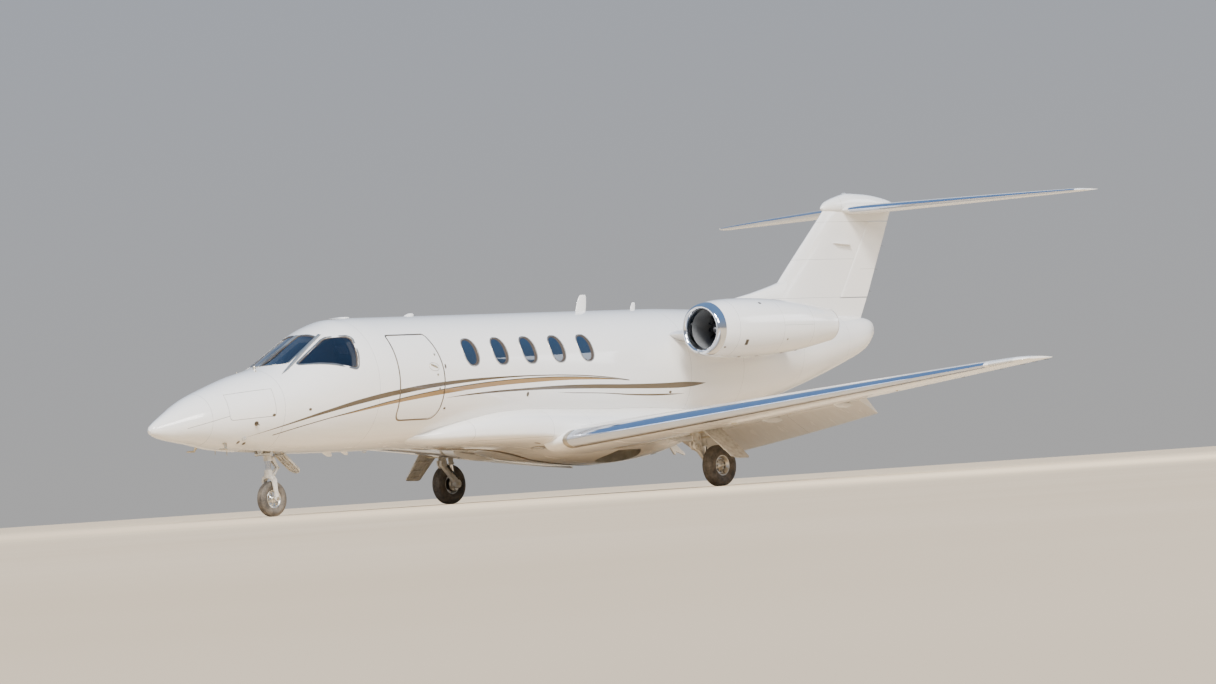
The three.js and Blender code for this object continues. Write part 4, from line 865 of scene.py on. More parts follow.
# Each wheel bay is a shallow drum with a rolled lip and dark, greased sheet inside
bay_metal = speckled("Wheel bay primer", (0.4, 0.39, 0.34, 1), (0.1, 0.09, 0.075, 1), (5.0, 6.0, 0.7),
                     (0.4, 0.35))
for side, name in SIDES:
    rings = []
    for a in turns(64):
        def under(radius, grow=0.0):
            return fairing_bottom(WHEEL_BAY["station"] + radius * cos(a),
                                  side * (WHEEL_BAY["y"] + radius * sin(a)), grow)

        roof = AXIS_Z + WHEEL_BAY["roof"] - 0.003
        reach = max(r for r in spaced((0.1, WHEEL_BAY["radius"] - 0.002, 0.004)) if under(r).z < roof - 0.004)
        spots = [(0.02, roof), (0.5 * reach, roof), (0.52 * reach, roof - 0.003),
                 (0.95 * reach, roof - 0.003)]
        ring = [under(r).xy.to_3d() + Vector((0, 0, z)) for r, z in spots]
        rim = under(reach)
        rings.append([*ring, rim.xy.to_3d() + Vector((0, 0, max(rim.z + 0.004, roof - 0.012))),
                      off(rim, 0, 0, 0.001), under(reach - 0.006, -0.001), under(reach - 0.006, -0.004),
                      under(reach - 0.006).xy.to_3d() + Vector((0, 0, roof + 0.002)),
                      ring[0] + Vector((0, 0, 0.005))])
    rings.append(rings[0])
    piece(f"wheel_bay_{name}", rolled(rings, closed=False), bay_metal)


# Wings: sheet aluminium over three spars, with a smooth laminar section and 5 degrees of dihedral.
# Rows: distance from the middle, leading edge, trailing edge, thickness.
WING = [
    (0.800, 5.940, 8.650, 0.360),
    (1.450, 6.090, 8.620, 0.335),
    (2.300, 6.290, 8.540, 0.300),
    (4.600, 6.660, 8.230, 0.205),
    (7.000, 6.990, 7.800, 0.100),
    (7.400, 7.060, 7.730, 0.076),
    (7.530, 7.130, 7.695, 0.052),
    (7.590, 7.200, 7.660, 0.026),
]
CAMBER = 0.012  # how far the section bows, as a share of the chord
FLAP = {"inner": 1.15, "outer": 4.35, "chord": 0.225, "down": 35}
AILERON = {"inner": 4.48, "outer": 6.88, "chord": 0.24}


def half_thickness(c):
    return 5 * (0.2969 * sqrt(c) - 0.126 * c - 0.3516 * c * c + 0.2843 * c ** 3 - 0.1036 * c ** 4) + 0.012 * c


def section_point(row, place_on, share, over, camber=0.0):
    """A point of an aerofoil section; share runs along the chord, over is 1 above, -1 below, 0 between."""
    where, front, back, thickness = row
    chord = back - front
    bend = camber * chord * 4 * share * (1 - share)
    return place_on(where, front + share * chord, bend + over * thickness * half_thickness(share))


def wing_place(y, station, offset):
    return place(station, y, -0.86 + (y - 0.95) * tan(radians(5)) + offset)


def wing_row(y):
    return (y, *smooth_row(WING, y))


def wing_point(y, share, over):
    return section_point(wing_row(y), wing_place, share, over, CAMBER)


def section_shares(first, last, count=22):
    """Shares of the chord, closer together near the nose of the section."""
    return [first + (last - first) * (1 - cos(pi / 2 * k / count)) for k in range(count + 1)]


def ring_of(row, place_on, camber, front=0.0, back=1.0):
    shares = section_shares(front, back)
    upper = [section_point(row, place_on, share, 1, camber) for share in reversed(shares)]
    lower = [section_point(row, place_on, share, -1, camber) for share in shares]
    return upper + (lower[1:] if front == 0 else lower)


def surface(rows, place_on, camber=0.0):
    return rolled([ring_of(row, place_on, camber) for row in rows])


def cut_behind(rows, place_on, share, clearance, tall, camber=0.0, hollow=0.0):
    """A cutter that takes a section away behind a share of its chord, hollowed for the nose that follows."""
    rings = []
    for row in rows:
        chord = row[2] - row[1]
        ahead = clearance / chord
        middle = section_point(row, place_on, share, 0, camber)
        up = section_point(row, place_on, share, 1, camber) - middle
        radius = up.length + clearance
        lifted = up.normalized()
        aft = (section_point(row, place_on, 1, 0, camber) - middle).normalized()
        arc = [middle - aft * radius * hollow * cos(a) + lifted * radius * sin(a)
               for a in [radians(-90 + 15 * k) for k in range(13)]]
        rings.append([middle + lifted * -tall, middle + aft * (chord + 0.2) - lifted * tall,
                      middle + aft * (chord + 0.2) + lifted * tall, middle + lifted * tall,
                      *reversed([point - aft * clearance for point in arc])])
    return rolled(rings)


def hinged_ring(row, place_on, share, camber=0.0, bulge=1.0):
    """A control surface's section: the part behind its hinge, closed by a rounded nose."""
    shares = [share + (1 - share) * k / 12 for k in range(13)]
    upper = [section_point(row, place_on, c, 1, camber) for c in reversed(shares)]
    lower = [section_point(row, place_on, c, -1, camber) for c in shares]
    middle = (upper[-1] + lower[0]) / 2
    up = upper[-1] - middle
    ahead = (middle - (upper[0] + lower[-1]) / 2).normalized() * up.length * bulge
    nose = [middle + up * -cos(a) + ahead * sin(a) for a in [radians(20 * k) for k in range(1, 9)]]
    return upper + list(reversed(nose)) + lower


def turned_about(bm, start, end, degrees):
    turn = Matrix.Rotation(radians(degrees), 4, (end - start).normalized())
    bmesh.ops.transform(bm, verts=bm.verts,
                        matrix=Matrix.Translation(start) @ turn @ Matrix.Translation(-start))
    return bm


# Polished alloy for the leading edges; its blue tint is a painted reflection of the sky
sky_tinted_edge_metal = bright_metal("Polished leading edge with painted sky tint", (0.6, 0.66, 0.78, 1), 0.07, 0.2, (3.0, 0.4, 3.0))
wing_lines = [("Across", y, "Station", 5.5, 9.0) for y in (1.62, 3.1, 4.41, 5.6, 6.95)]
wing_paint = plain_paint("Wing paint", wing_lines + [("Across", 7.02, "Station", 5.5, 9.0)])


def wing_share(point):
    front, back, thickness = smooth_row(WING, abs(point[1]))
    return (NOSE_X - point[0] - front) / (back - front)


wing_stations = spaced((0.8, 7.0, 0.155), (7.0, 7.4, 0.05), (7.4, 7.59, 0.02))
flap_rows = [wing_row(y) for y in spaced((FLAP["inner"] - 0.005, FLAP["outer"] + 0.005, 0.2))]
aileron_rows = [wing_row(y) for y in spaced((AILERON["inner"] - 0.005, AILERON["outer"] + 0.005, 0.2))]
for side, name in SIDES:
    bm = cut(surface([wing_row(y) for y in wing_stations], wing_place, CAMBER),
             cut_behind(flap_rows, wing_place, 1 - FLAP["chord"], 0.005, 0.3, CAMBER),
             cut_behind(aileron_rows, wing_place, 1 - AILERON["chord"], 0.007, 0.2, CAMBER, 1.0),
             block((7.08, 7.47), (1.48, 2.44), (-1.2, -0.7447)))
    wing = piece(f"wing_{name}_skin", in_mirror(bm, side), wing_paint, sky_tinted_edge_metal, sharp=30,
                 stands_for=(f"wing_{name}",), slot="white_paint")
    for face in wing.data.polygons:
        reach = abs(face.center[1])
        if wing_share(face.center) < 0.055 and 1.07 < reach < 7.03:
            face.material_index = 1

    moving = [wing_row(y) for y in spaced((AILERON["inner"], AILERON["outer"], 0.15))]
    bm = rolled([hinged_ring(row, wing_place, 1 - AILERON["chord"], CAMBER) for row in moving])
    piece(f"aileron_{name}_skin", in_mirror(bm, side), wing_paint, sharp=40, body=f"aileron_{name}",
          stands_for=(f"aileron_{name}",), slot="white_paint")

    moving = [wing_row(y) for y in spaced((FLAP["inner"], FLAP["outer"], 0.16))]
    bm = rolled([hinged_ring(row, wing_place, 1 - FLAP["chord"], CAMBER, 0.35) for row in moving])
    ends = [wing_point(FLAP[key], 1 - FLAP["chord"], -1) for key in ("inner", "outer")]
    bm = turned_about(bm, *ends, -FLAP["down"])
    piece(f"flap_{name}_skin", in_mirror(bm, side), wing_paint, sharp=40, body=f"flap_{name}",
          stands_for=(f"flap_{name}",), slot="white_paint")


# Wing tips: moulded caps with a lamp glass let into the front edge and static wicks behind.
# The wicks are thin rods of resin and carbon that bleed off charge; the ailerons carry three each.
lamp_glass = glass("Lamp glass", (0.75, 0.78, 0.8, 1), 0.35)
wick_black = speckled("Static wick", (0.02, 0.02, 0.02, 1), (0.09, 0.085, 0.08, 1), (300.0,), (0.2, 0.55))


def rod(points, radius, sides=8):
    """A round bar or pipe along a line of points; radius is one number or one for each point."""
    radii = radius if isinstance(radius, (list, tuple)) else [radius] * len(points)
    rings = []
    side_way = None
    for i, point in enumerate(points):
        before = points[max(0, i - 1)]
        after = points[min(len(points) - 1, i + 1)]
        ahead = (after - before).normalized()
        if side_way is None:
            side_way = ahead.orthogonal().normalized()
        side_way = (side_way - ahead * side_way.dot(ahead)).normalized()
        upright = ahead.cross(side_way)
        rings.append([point + (side_way * cos(a) + upright * sin(a)) * radii[i]
                      for a in turns(sides)])
    return rolled(rings)


for side, name in SIDES:
    lamp = []
    for y in spaced((7.12, 7.44, 0.02)):
        lamp.append([off(wing_point(y, c, over), 0.004, 0, over * 0.003)
                     for over, shares in ((1, (0.05, 0.03, 0.012, 0.0)), (-1, (0.012, 0.03, 0.05)))
                     for c in shares])
    piece(f"tip_lamp_{name}", in_mirror(rolled(lamp), side), lamp_glass)
    tip_wicks = []
    for y in (6.98, 7.2, 7.4):
        tail = wing_point(y, 0.992, 0)
        tip_wicks.append(rod([off(tail, 0.01, 0, 0), off(tail, -0.02, 0, -0.002),
                              off(tail, -0.1, 0.004, -0.006)],
                             [0.004, 0.003, 0.0015], 6))
    piece(f"tip_wicks_{name}", in_mirror(merged(tip_wicks), side), wick_black)
    wicks = []
    for y in (5.2, 5.9, 6.6):
        tail = wing_point(y, 0.99, 0)
        wicks.append(rod([off(tail, 0.01, 0, 0), off(tail, -0.09, 0.003, -0.004)], [0.0035, 0.0015], 6))
    piece(f"aileron_wicks_{name}", in_mirror(merged(wicks), side), wick_black, body=f"aileron_{name}")


# Fin: swept, built on the tail cone, with a long low fillet ahead of it and the rudder behind.
# Rows: height, leading edge, trailing edge, thickness.
FIN = [
    (0.480, 10.980, 13.200, 0.190),
    (0.960, 11.420, 13.480, 0.170),
    (1.130, 11.590, 13.570, 0.162),
    (2.020, 12.560, 14.040, 0.120),
    (2.090, 12.634, 14.077, 0.117),
]
RUDDER = {"low": 0.9, "high": 1.93, "chord": 0.29}
# Rows: distance from the middle, leading edge, trailing edge, thickness
TAILPLANE = [
    (0.000, 12.930, 14.100, 0.120),
    (0.200, 13.000, 14.130, 0.118),
    (3.150, 14.110, 14.505, 0.046),
    (3.230, 14.160, 14.518, 0.034),
    (3.268, 14.215, 14.528, 0.016),
]
ELEVATOR = {"inner": 0.26, "outer": 3.02, "chord": 0.32}
# Rows: station, half width, half height, height of the middle
BULLET = [
    (12.590, 0.012, 0.012, 2.120),
    (12.630, 0.040, 0.046, 2.127),
    (12.690, 0.062, 0.070, 2.140),
    (12.900, 0.095, 0.115, 2.160),
    (13.150, 0.105, 0.140, 2.180),
    (13.500, 0.096, 0.125, 2.180),
    (13.900, 0.066, 0.085, 2.165),
    (14.260, 0.014, 0.018, 2.130),
]


def fin_place(z, station, offset):
    return place(station, offset, z)


def tail_place(y, station, offset):
    return place(station, y, 2.09 + offset)


def fin_row(z):
    return (z, *smooth_row(FIN, z))


def tail_row(y):
    return (y, *smooth_row(TAILPLANE, y))


fin_paint = plain_paint("Fin paint",
                        [("Height", 0.9, "Station", 10.5, 14.0), ("Height", 1.93, "Station", 12.0, 14.2),
                         ("Height", 1.42, "Station", 11.8, 13.2)])
bm = surface([fin_row(z) for z in spaced((0.48, 2.09, 0.115))], fin_place)
rudder_rows = [fin_row(z) for z in spaced((RUDDER["low"] - 0.015, RUDDER["high"] + 0.011, 0.1))]
bm = cut(bm, cut_behind(rudder_rows, fin_place, 1 - RUDDER["chord"], 0.007, 0.2, 0.0, 1.0))
piece("fin_skin", bm, fin_paint, sharp=30, stands_for=("fin",), slot="white_paint")
for side, name in SIDES:
    blade = []
    for s, z, long, tall in ((12.89, 1.628, 0.2, 0.012), (12.9, 1.627, 0.19, 0.01),
                             (12.93, 1.624, 0.15, 0.007)):
        out = 0.05 + 0.03 * len(blade)
        blade.append([place(s + long * cos(a), side * out, z - 0.06 * long * cos(a) + tall * sin(a))
                      for a in turns(24)])
    piece(f"fin_aerial_{name}", rolled(blade), fin_paint, sharp=40)

# Dorsal fillet: rises from a knife edge on the roof into the fin's leading edge
fillet = []
for s, low, top, half in [(9.9, 0.7, 0.802, 0.008), (10.4, 0.66, 0.88, 0.026), (11.0, 0.64, 0.985, 0.045),
                          (11.35, 0.62, 1.062, 0.054), (11.7, 0.6, 1.15, 0.06)]:
    upper = [place(s, half * cos(a), top - 0.1 * (1 - sin(a)) * (top - 0.7))
             for a in [radians(15 * k) for k in range(13)]]
    fillet.append([place(s, half * 1.3, low), *upper, place(s, -half * 1.3, low)])
piece("dorsal_fillet", rolled(fillet), fin_paint, sharp=40)

bm = rolled([hinged_ring(fin_row(z), fin_place, 1 - RUDDER["chord"])
             for z in spaced((RUDDER["low"], RUDDER["high"], 0.1))])
rudder_paint = plain_paint("Rudder paint", [("Height", 1.28, "Station", 13.3, 14.2)])
piece("rudder_skin", bm, rudder_paint, sharp=40, body="rudder", stands_for=("rudder",), slot="white_paint")
for height in (0.98, 1.28, 1.6):
    tail = section_point(fin_row(height), fin_place, 0.985, 0)
    piece(f"rudder_wick_{round(height * 100)}", rod([tail, off(tail, -0.09, 0, -0.01)], [0.003, 0.0015], 6),
          wick_black, body="rudder")

# Tailplane: one swept surface across the top of the fin, with polished edges and full-span elevators
tail_paint = plain_paint("Tailplane paint",
                         [("Across", 1.25, "Station", 12.9, 14.6), ("Across", 2.3, "Station", 12.9, 14.6)])
span = spaced((0.0, 3.15, 0.15), (3.15, 3.268, 0.02))
elevator_rows = [tail_row(y) for y in spaced((ELEVATOR["inner"] - 0.005, ELEVATOR["outer"] + 0.005, 0.2))]
for side, name in SIDES:
    bm = cut(surface([tail_row(y) for y in span], tail_place),
             cut_behind(elevator_rows, tail_place, 1 - ELEVATOR["chord"], 0.007, 0.15, 0.0, 1.0))
    made = piece(f"tailplane_{name}_skin", in_mirror(bm, side), tail_paint, sky_tinted_edge_metal, sharp=30,
                 slot="white_paint")
    for face in made.data.polygons:
        reach = abs(face.center[1])
        front, back, thickness = smooth_row(TAILPLANE, reach)
        if (NOSE_X - face.center[0] - front) / (back - front) < 0.06 and 0.13 < reach < 3.16:
            face.material_index = 1
    moving = [tail_row(y) for y in spaced((ELEVATOR["inner"], ELEVATOR["outer"], 0.15))]
    bm = rolled([hinged_ring(row, tail_place, 1 - ELEVATOR["chord"]) for row in moving])
    piece(f"elevator_{name}_skin", in_mirror(bm, side), tail_paint, sharp=40, body=f"elevator_{name}",
          stands_for=(f"elevator_{name}",), slot="white_paint")
    wicks = []
    for y in (1.6, 2.2, 2.8):
        tail = section_point(tail_row(y), tail_place, 0.97, 0)
        wicks.append(rod([tail, off(tail, -0.015, 0.002, -0.004)], [0.003, 0.0015], 6))
    piece(f"elevator_wicks_{name}", in_mirror(merged(wicks), side), wick_black, body=f"elevator_{name}")

rings = []
for s in spaced((12.59, 12.75, 0.02), (12.75, 14.26, 0.06)):
    half, tall, z = smooth_row(BULLET, s)
    rings.append([place(s, half * cos(a), z + tall * sin(a)) for a in turns(48)])
bullet_paint = plain_paint("Bullet fairing paint",
                           [("Station", 12.92, "Across", 0.0, 0.2), ("Station", 13.86, "Across", 0.0, 0.2)])
piece("bullet_fairing", rolled(rings), bullet_paint, sharp=40, stands_for=("tailplane",), slot="white_paint")


# Engines: two turbofans on stub pylons. The cowls are moulded panels closed by latches.
# Profiles are (radius, station) pairs round the engine's axis.
ENGINE_Y, ENGINE_Z = 1.39, 0.47
COWL = [(0.347, 8.5), (0.362, 8.6), (0.372, 8.7), (0.381, 8.88), (0.385, 9.1), (0.382, 9.35), (0.372, 9.6),
        (0.356, 9.85), (0.335, 10.1), (0.306, 10.33), (0.272, 10.55), (0.24, 10.74), (0.214, 10.89)]
NOZZLE = [(0.2135, 10.9), (0.209, 10.903), (0.203, 10.9), (0.206, 10.8), (0.22, 10.62), (0.24, 10.45),
          (0.275, 10.3), (0.3, 10.25)]
DUCT = [(0.3, 8.98), (0.263, 8.93), (0.262, 8.8), (0.261, 8.68), (0.256, 8.58), (0.251, 8.5)]
LIP = [(0.2505, 8.499), (0.2505, 8.47), (0.252, 8.44), (0.256, 8.418), (0.262, 8.402), (0.272, 8.384),
       (0.282, 8.374),
       (0.292, 8.371), (0.303, 8.375), (0.315, 8.387), (0.327, 8.41), (0.337, 8.44), (0.343, 8.47),
       (0.347, 8.499)]


def engine_point(side, radius, station, angle=0.0):
    return place(station, side * ENGINE_Y + radius * cos(angle), ENGINE_Z + radius * sin(angle))


def spun(points, centre, axis, steps):
    """A line of points spun round an axis through a centre."""
    bm = bmesh.new()
    verts = [bm.verts.new(point) for point in points]
    for a, b in zip(verts, verts[1:]):
        bm.edges.new((a, b))
    bmesh.ops.spin(bm, geom=bm.verts[:] + bm.edges[:], cent=centre, axis=axis, angle=2 * pi, steps=steps,
                   use_merge=True)
    bmesh.ops.remove_doubles(bm, verts=bm.verts, dist=1e-6)
    bmesh.ops.recalc_face_normals(bm, faces=bm.faces)
    return bm


def engine_turned(profile, side, steps=96):
    """A profile of (radius, station) pairs spun round the engine's axis."""
    points = [engine_point(side, radius, station) for radius, station in profile]
    return spun(points, engine_point(side, 0, 0), (1, 0, 0), steps)


cowl_paint = plain_paint("Cowl paint", [
    ("Station", 8.74, "Across", 0.9, 1.9), ("Station", 9.62, "Across", 0.9, 1.9),
    ("Station", 10.28, "Across", 0.9, 1.9),
    ("Across", 1.40, "Station", 8.74, 10.28), ("Height", 0.47, "Station", 9.62, 10.28)])
lip_metal = bright_metal("Polished inlet lip", (0.72, 0.74, 0.78, 1), 0.05, 0.16)
duct_metal, tree, shader = material("Inlet duct lining", Metallic=0.4)
# The lining's perforations are dark dots of colour: painted shade inside the holes, over a slight dent
cells = add(tree, "TexVoronoi", {"Vector": object_point(tree), "Scale": 120.0}).outputs["Distance"]
holes = ramp(tree, cells, 0.12, 0.3)
finish(tree, shader, blended(tree, holes, (0.05, 0.05, 0.055, 1), (0.3, 0.31, 0.32, 1)),
       scaled(tree, holes, -0.15, 0.5), bumps(tree, holes, 0.3, 0.001))
hot_metal = bright_metal("Heat stained nozzle", (0.42, 0.33, 0.25, 1), 0.25, 0.5)
core_metal = bright_metal("Core casing", (0.2, 0.18, 0.17, 1), 0.3, 0.6)
blade_metal = bright_metal("Fan titanium", (0.36, 0.37, 0.39, 1), 0.16, 0.36)
spinner_paint, tree, shader = material("Spinner paint", Coat_Weight=0.4)
point = object_point(tree)
offset = add(tree, "VectorMath", {0: point, 1: (0, 0, AXIS_Z + ENGINE_Z)}, operation="SUBTRACT").outputs[0]
parts = add(tree, "SeparateXYZ", {0: offset}).outputs
out = sum_of(tree, "SUBTRACT", sum_of(tree, "ABSOLUTE", parts["Y"]), ENGINE_Y)
angle = sum_of(tree, "ARCTAN2", parts["Z"], out)
square = sum_of(tree, "ADD", sum_of(tree, "MULTIPLY", parts["Z"], parts["Z"]),
                sum_of(tree, "MULTIPLY", out, out))
span = sum_of(tree, "SQRT", square)
curl = sum_of(tree, "SINE", scaled(tree, span, 55.0, angle))
mark = sum_of(tree, "MULTIPLY", sum_of(tree, "GREATER_THAN", curl, 0.9),
              sum_of(tree, "LESS_THAN", span, 0.075))
finish(tree, shader, blended(tree, mark, (0.035, 0.035, 0.04, 1), (0.75, 0.74, 0.72, 1)),
       scaled(tree, noise(tree, point, 40.0, 4.0), 0.3, 0.25))

for side, name in SIDES:
    cowl = engine_turned([*COWL, *NOZZLE], side)
    made = piece(f"cowl_{name}", cowl, cowl_paint, hot_metal, sharp=40, stands_for=(f"nacelle_{name}",),
                 slot="composite_paint")
    for face in made.data.polygons:
        station = NOSE_X - face.center[0]
        off_axis = Vector((0, face.center[1] - side * ENGINE_Y, face.center[2] - AXIS_Z - ENGINE_Z))
        inside = off_axis.length < 0.29 and face.normal.dot(off_axis) < 0
        if station > 10.885 or (station > 10.26 and inside):
            face.material_index = 1
    piece(f"inlet_duct_{name}", engine_turned(DUCT, side), duct_metal, sharp=40)
    piece(f"inlet_lip_{name}_ring", engine_turned(LIP, side, 128), lip_metal, sharp=60,
          stands_for=(f"inlet_lip_{name}",), slot="polished_lip")

    # fan: a spinner with a spiral mark and sixteen broad twisted blades
    spinner = engine_turned([(0.0, 8.64), (0.016, 8.645), (0.034, 8.658), (0.05, 8.678), (0.066, 8.705),
                             (0.08, 8.745), (0.088, 8.785), (0.09, 8.87), (0.0, 8.872)], side, 48)
    piece(f"spinner_{name}", spinner, spinner_paint, sharp=50, body=f"fan_{name}")
    blades = []
    for turn in turns(16):
        outward = Vector((0, cos(turn), sin(turn)))
        around = Vector((0, -sin(turn), cos(turn))) * side
        rings = []
        for step in range(9):
            share = step / 8
            lean = radians(22 + 36 * share)
            chord = 0.062 + 0.03 * sin(pi * share * 0.75)
            middle = engine_point(side, 0, 8.832) + outward * (0.082 + (0.2565 - 0.082) * share)
            way = Vector((1, 0, 0)) * cos(lean) + around * sin(lean)
            face_way = way.cross(outward)
            thick = 0.0045 - 0.0028 * share
            rings.append([middle + way * chord / 2 * cos(a) * 0.68 + face_way
                          * (thick * sin(a) + 0.004 * sin(a) ** 2)
                          for a in turns(10)])
        blades.append(rolled(rings))
    piece(f"fan_{name}_blades", merged(blades), blade_metal, sharp=60, body=f"fan_{name}",
          stands_for=(f"fan_{name}",), slot="fan_metal")

    # core: casing, a ring of guide vanes behind the fan, and the cone in the nozzle
    casing = engine_turned([(0.04, 8.872), (0.1, 8.88), (0.11, 8.96), (0.296, 9.0), (0.2995, 9.4),
                            (0.2995, 10.1),
                            (0.28, 10.19), (0.11, 10.2), (0.108, 10.26), (0.085, 10.34), (0.045, 10.405),
                            (0.0, 10.42)], side, 64)
    piece(f"core_{name}", casing, core_metal, sharp=40, stands_for=(f"engine_{name}",), slot="engine_metal")
    vanes = []
    for turn in turns(28):
        outward = Vector((0, cos(turn), sin(turn)))
        around = Vector((0, -sin(turn), cos(turn)))
        rings = []
        for radius in (0.105, 0.262):
            middle = engine_point(side, 0, 8.925) + outward * radius
            rings.append([middle + Vector((0.028 * cos(a), 0, 0)) + around
                          * (0.0025 * sin(a) + 0.008 * cos(a))
                          for a in turns(6)])
        vanes.append(rolled(rings))
    piece(f"guide_vanes_{name}", merged(vanes), core_metal, sharp=60)


# Pylons: thin horizontal stubs that carry each engine off the fuselage, faired at both ends.
PYLON = [(8.56, 0.44), (8.62, 0.466), (8.76, 0.487), (9.05, 0.502), (9.4, 0.51), (9.8, 0.508), (10.2, 0.498),
         (10.48, 0.476), (10.7, 0.45), (10.56, 0.412), (10.2, 0.352), (9.8, 0.328), (9.4, 0.322),
         (9.05, 0.336), (8.76, 0.36), (8.62, 0.398)]
pylon_paint = plain_paint("Pylon paint",
                          [("Station", 8.78, "Across", 0.6, 1.3), ("Station", 10.05, "Across", 0.6, 1.3)])
for side, name in SIDES:
    rings = []
    for y, swell in ((0.5, 1.3), (0.74, 1.16), (0.82, 1.04), (0.9, 1.0), (0.98, 1.0), (1.06, 1.08),
                     (1.16, 1.25)):
        rings.append([place(9.55 + (s - 9.55) * (1 + 0.05 * (swell - 1)), y, 0.416 + (z - 0.416) * swell)
                      for s, z in PYLON])
    solid_cowl = engine_turned([(0.0, 8.38), (0.25, 8.4), *[(r - 0.002, s) for r, s in COWL], (0.0, 10.9)], 1,
                               64)
    piece(f"pylon_{name}_skin", in_mirror(cut(rolled(rings), solid_cowl), side), pylon_paint,
          stands_for=(f"pylon_{name}",), slot="white_paint")


# Landing gear, shared: painted forgings, chromed pistons, plated pins, rigid brake pipes.
gear_white, tree, shader = material("Gear enamel", Coat_Weight=0.3, Coat_Roughness=0.15)
grime = noise(tree, object_point(tree), 14.0, 8.0, 0.7)
dirt = ramp(tree, grime, 0.45, 0.72, 0.0, 0.75)
finish(tree, shader, blended(tree, dirt, (0.6, 0.57, 0.51, 1), (0.22, 0.18, 0.14, 1)),
       scaled(tree, grime, 0.35, 0.2), bumps(tree, grime, 0.15, 0.002))
chrome = bright_metal("Chromed piston", (0.8, 0.8, 0.82, 1), 0.04, 0.12, (1, 1, 6))
plated = bright_metal("Plated steel", (0.58, 0.52, 0.4, 1), 0.28, 0.5)
wheel_alloy = bright_metal("Wheel alloy", (0.7, 0.68, 0.63, 1), 0.22, 0.44)
hose_black = speckled("Hose rubber", (0.012, 0.012, 0.013, 1), (0.05, 0.048, 0.045, 1),
                      (240.0, 2.0), (0.2, 0.5))
tyre_rubber, tree, shader = material("Tyre rubber", Specular_IOR_Level=0.35)
point = object_point(tree)
dust = noise(tree, point, 9.0, 8.0, 0.75)
worn = ramp(tree, dust, 0.36, 0.72, 0.0, 0.9)
finish(tree, shader, blended(tree, worn, (0.05, 0.044, 0.038, 1), (0.22, 0.185, 0.145, 1)),
       scaled(tree, dust, 0.25, 0.55), bumps(tree, noise(tree, point, 160.0, 3.0), 0.25, 0.001))


def path(*spots):
    """Points from (station, y, height) triples."""
    return [place(*spot) for spot in spots]


def axle_spun(profile, centre, steps=64):
    """A profile of (radius, sideways) pairs spun round a wheel's axle."""
    return spun([off(centre, 0, out, radius) for radius, out in profile], centre, (0, 1, 0), steps)


def disc(centre, direction, radius, length, sides=24):
    """A round boss from centre along a direction, with chamfered ends."""
    way = Vector(direction).normalized()
    edge = min(radius, length) * 0.15
    return rod([centre, centre + way * edge, centre + way * (length - edge), centre + way * length],
               [radius - edge, radius, radius, radius - edge], sides)


def boss(centre, y, radius, length, sides=24):
    """A disc whose axis runs to port, from y metres beside a centre."""
    return disc(off(centre, 0, y, 0), (0, 1, 0), radius, length, sides)


def boxy(points, widths, heights, up):
    """A forging of rounded rectangular section along points, with its own width and height at each."""
    rings = []
    for i, point in enumerate(points):
        ahead = (points[min(i + 1, len(points) - 1)] - points[max(i - 1, 0)]).normalized()
        across = ahead.cross(Vector(up)).normalized()
        lift = across.cross(ahead)
        w, h = widths[i] / 2, heights[i] / 2
        c = 0.28 * min(w, h)
        shape = [(w - c, -h), (w - 0.3 * c, -h + 0.3 * c), (w, -h + c), (w, h - c),
                 (w - 0.3 * c, h - 0.3 * c), (w - c, h),
                 (c - w, h), (0.3 * c - w, h - 0.3 * c), (-w, h - c), (-w, c - h), (0.3 * c - w, 0.3 * c - h),
                 (c - w, -h)]
        rings.append([point + across * a + lift * b for a, b in shape])
    return rolled(rings)


def bar(start, end, width, height, up=(0, 0, 1)):
    """A straight forging of one rounded rectangular section."""
    return boxy([start, end], [width, width], [height, height], up)


def hexes(centre, outward, ring, count, size, tall, start=0.0):
    """A ring of bolt heads on a wheel's face."""
    way = Vector((0, outward, 0))
    first = way.orthogonal().normalized()
    second = way.cross(first)
    spots = [centre + first * ring * cos(start + a) + second * ring * sin(start + a) for a in turns(count)]
    return [rod([spot, spot + way * tall], size, 6) for spot in spots]


def mirrored(parts, side):
    return in_mirror(merged(parts), side)


def forged(name, bm, node=None, body="airframe", sharp=35):
    piece(name, bm, gear_white, sharp=sharp, body=body, stands_for=(node,) if node else (),
          slot="gear_paint" if node else None)


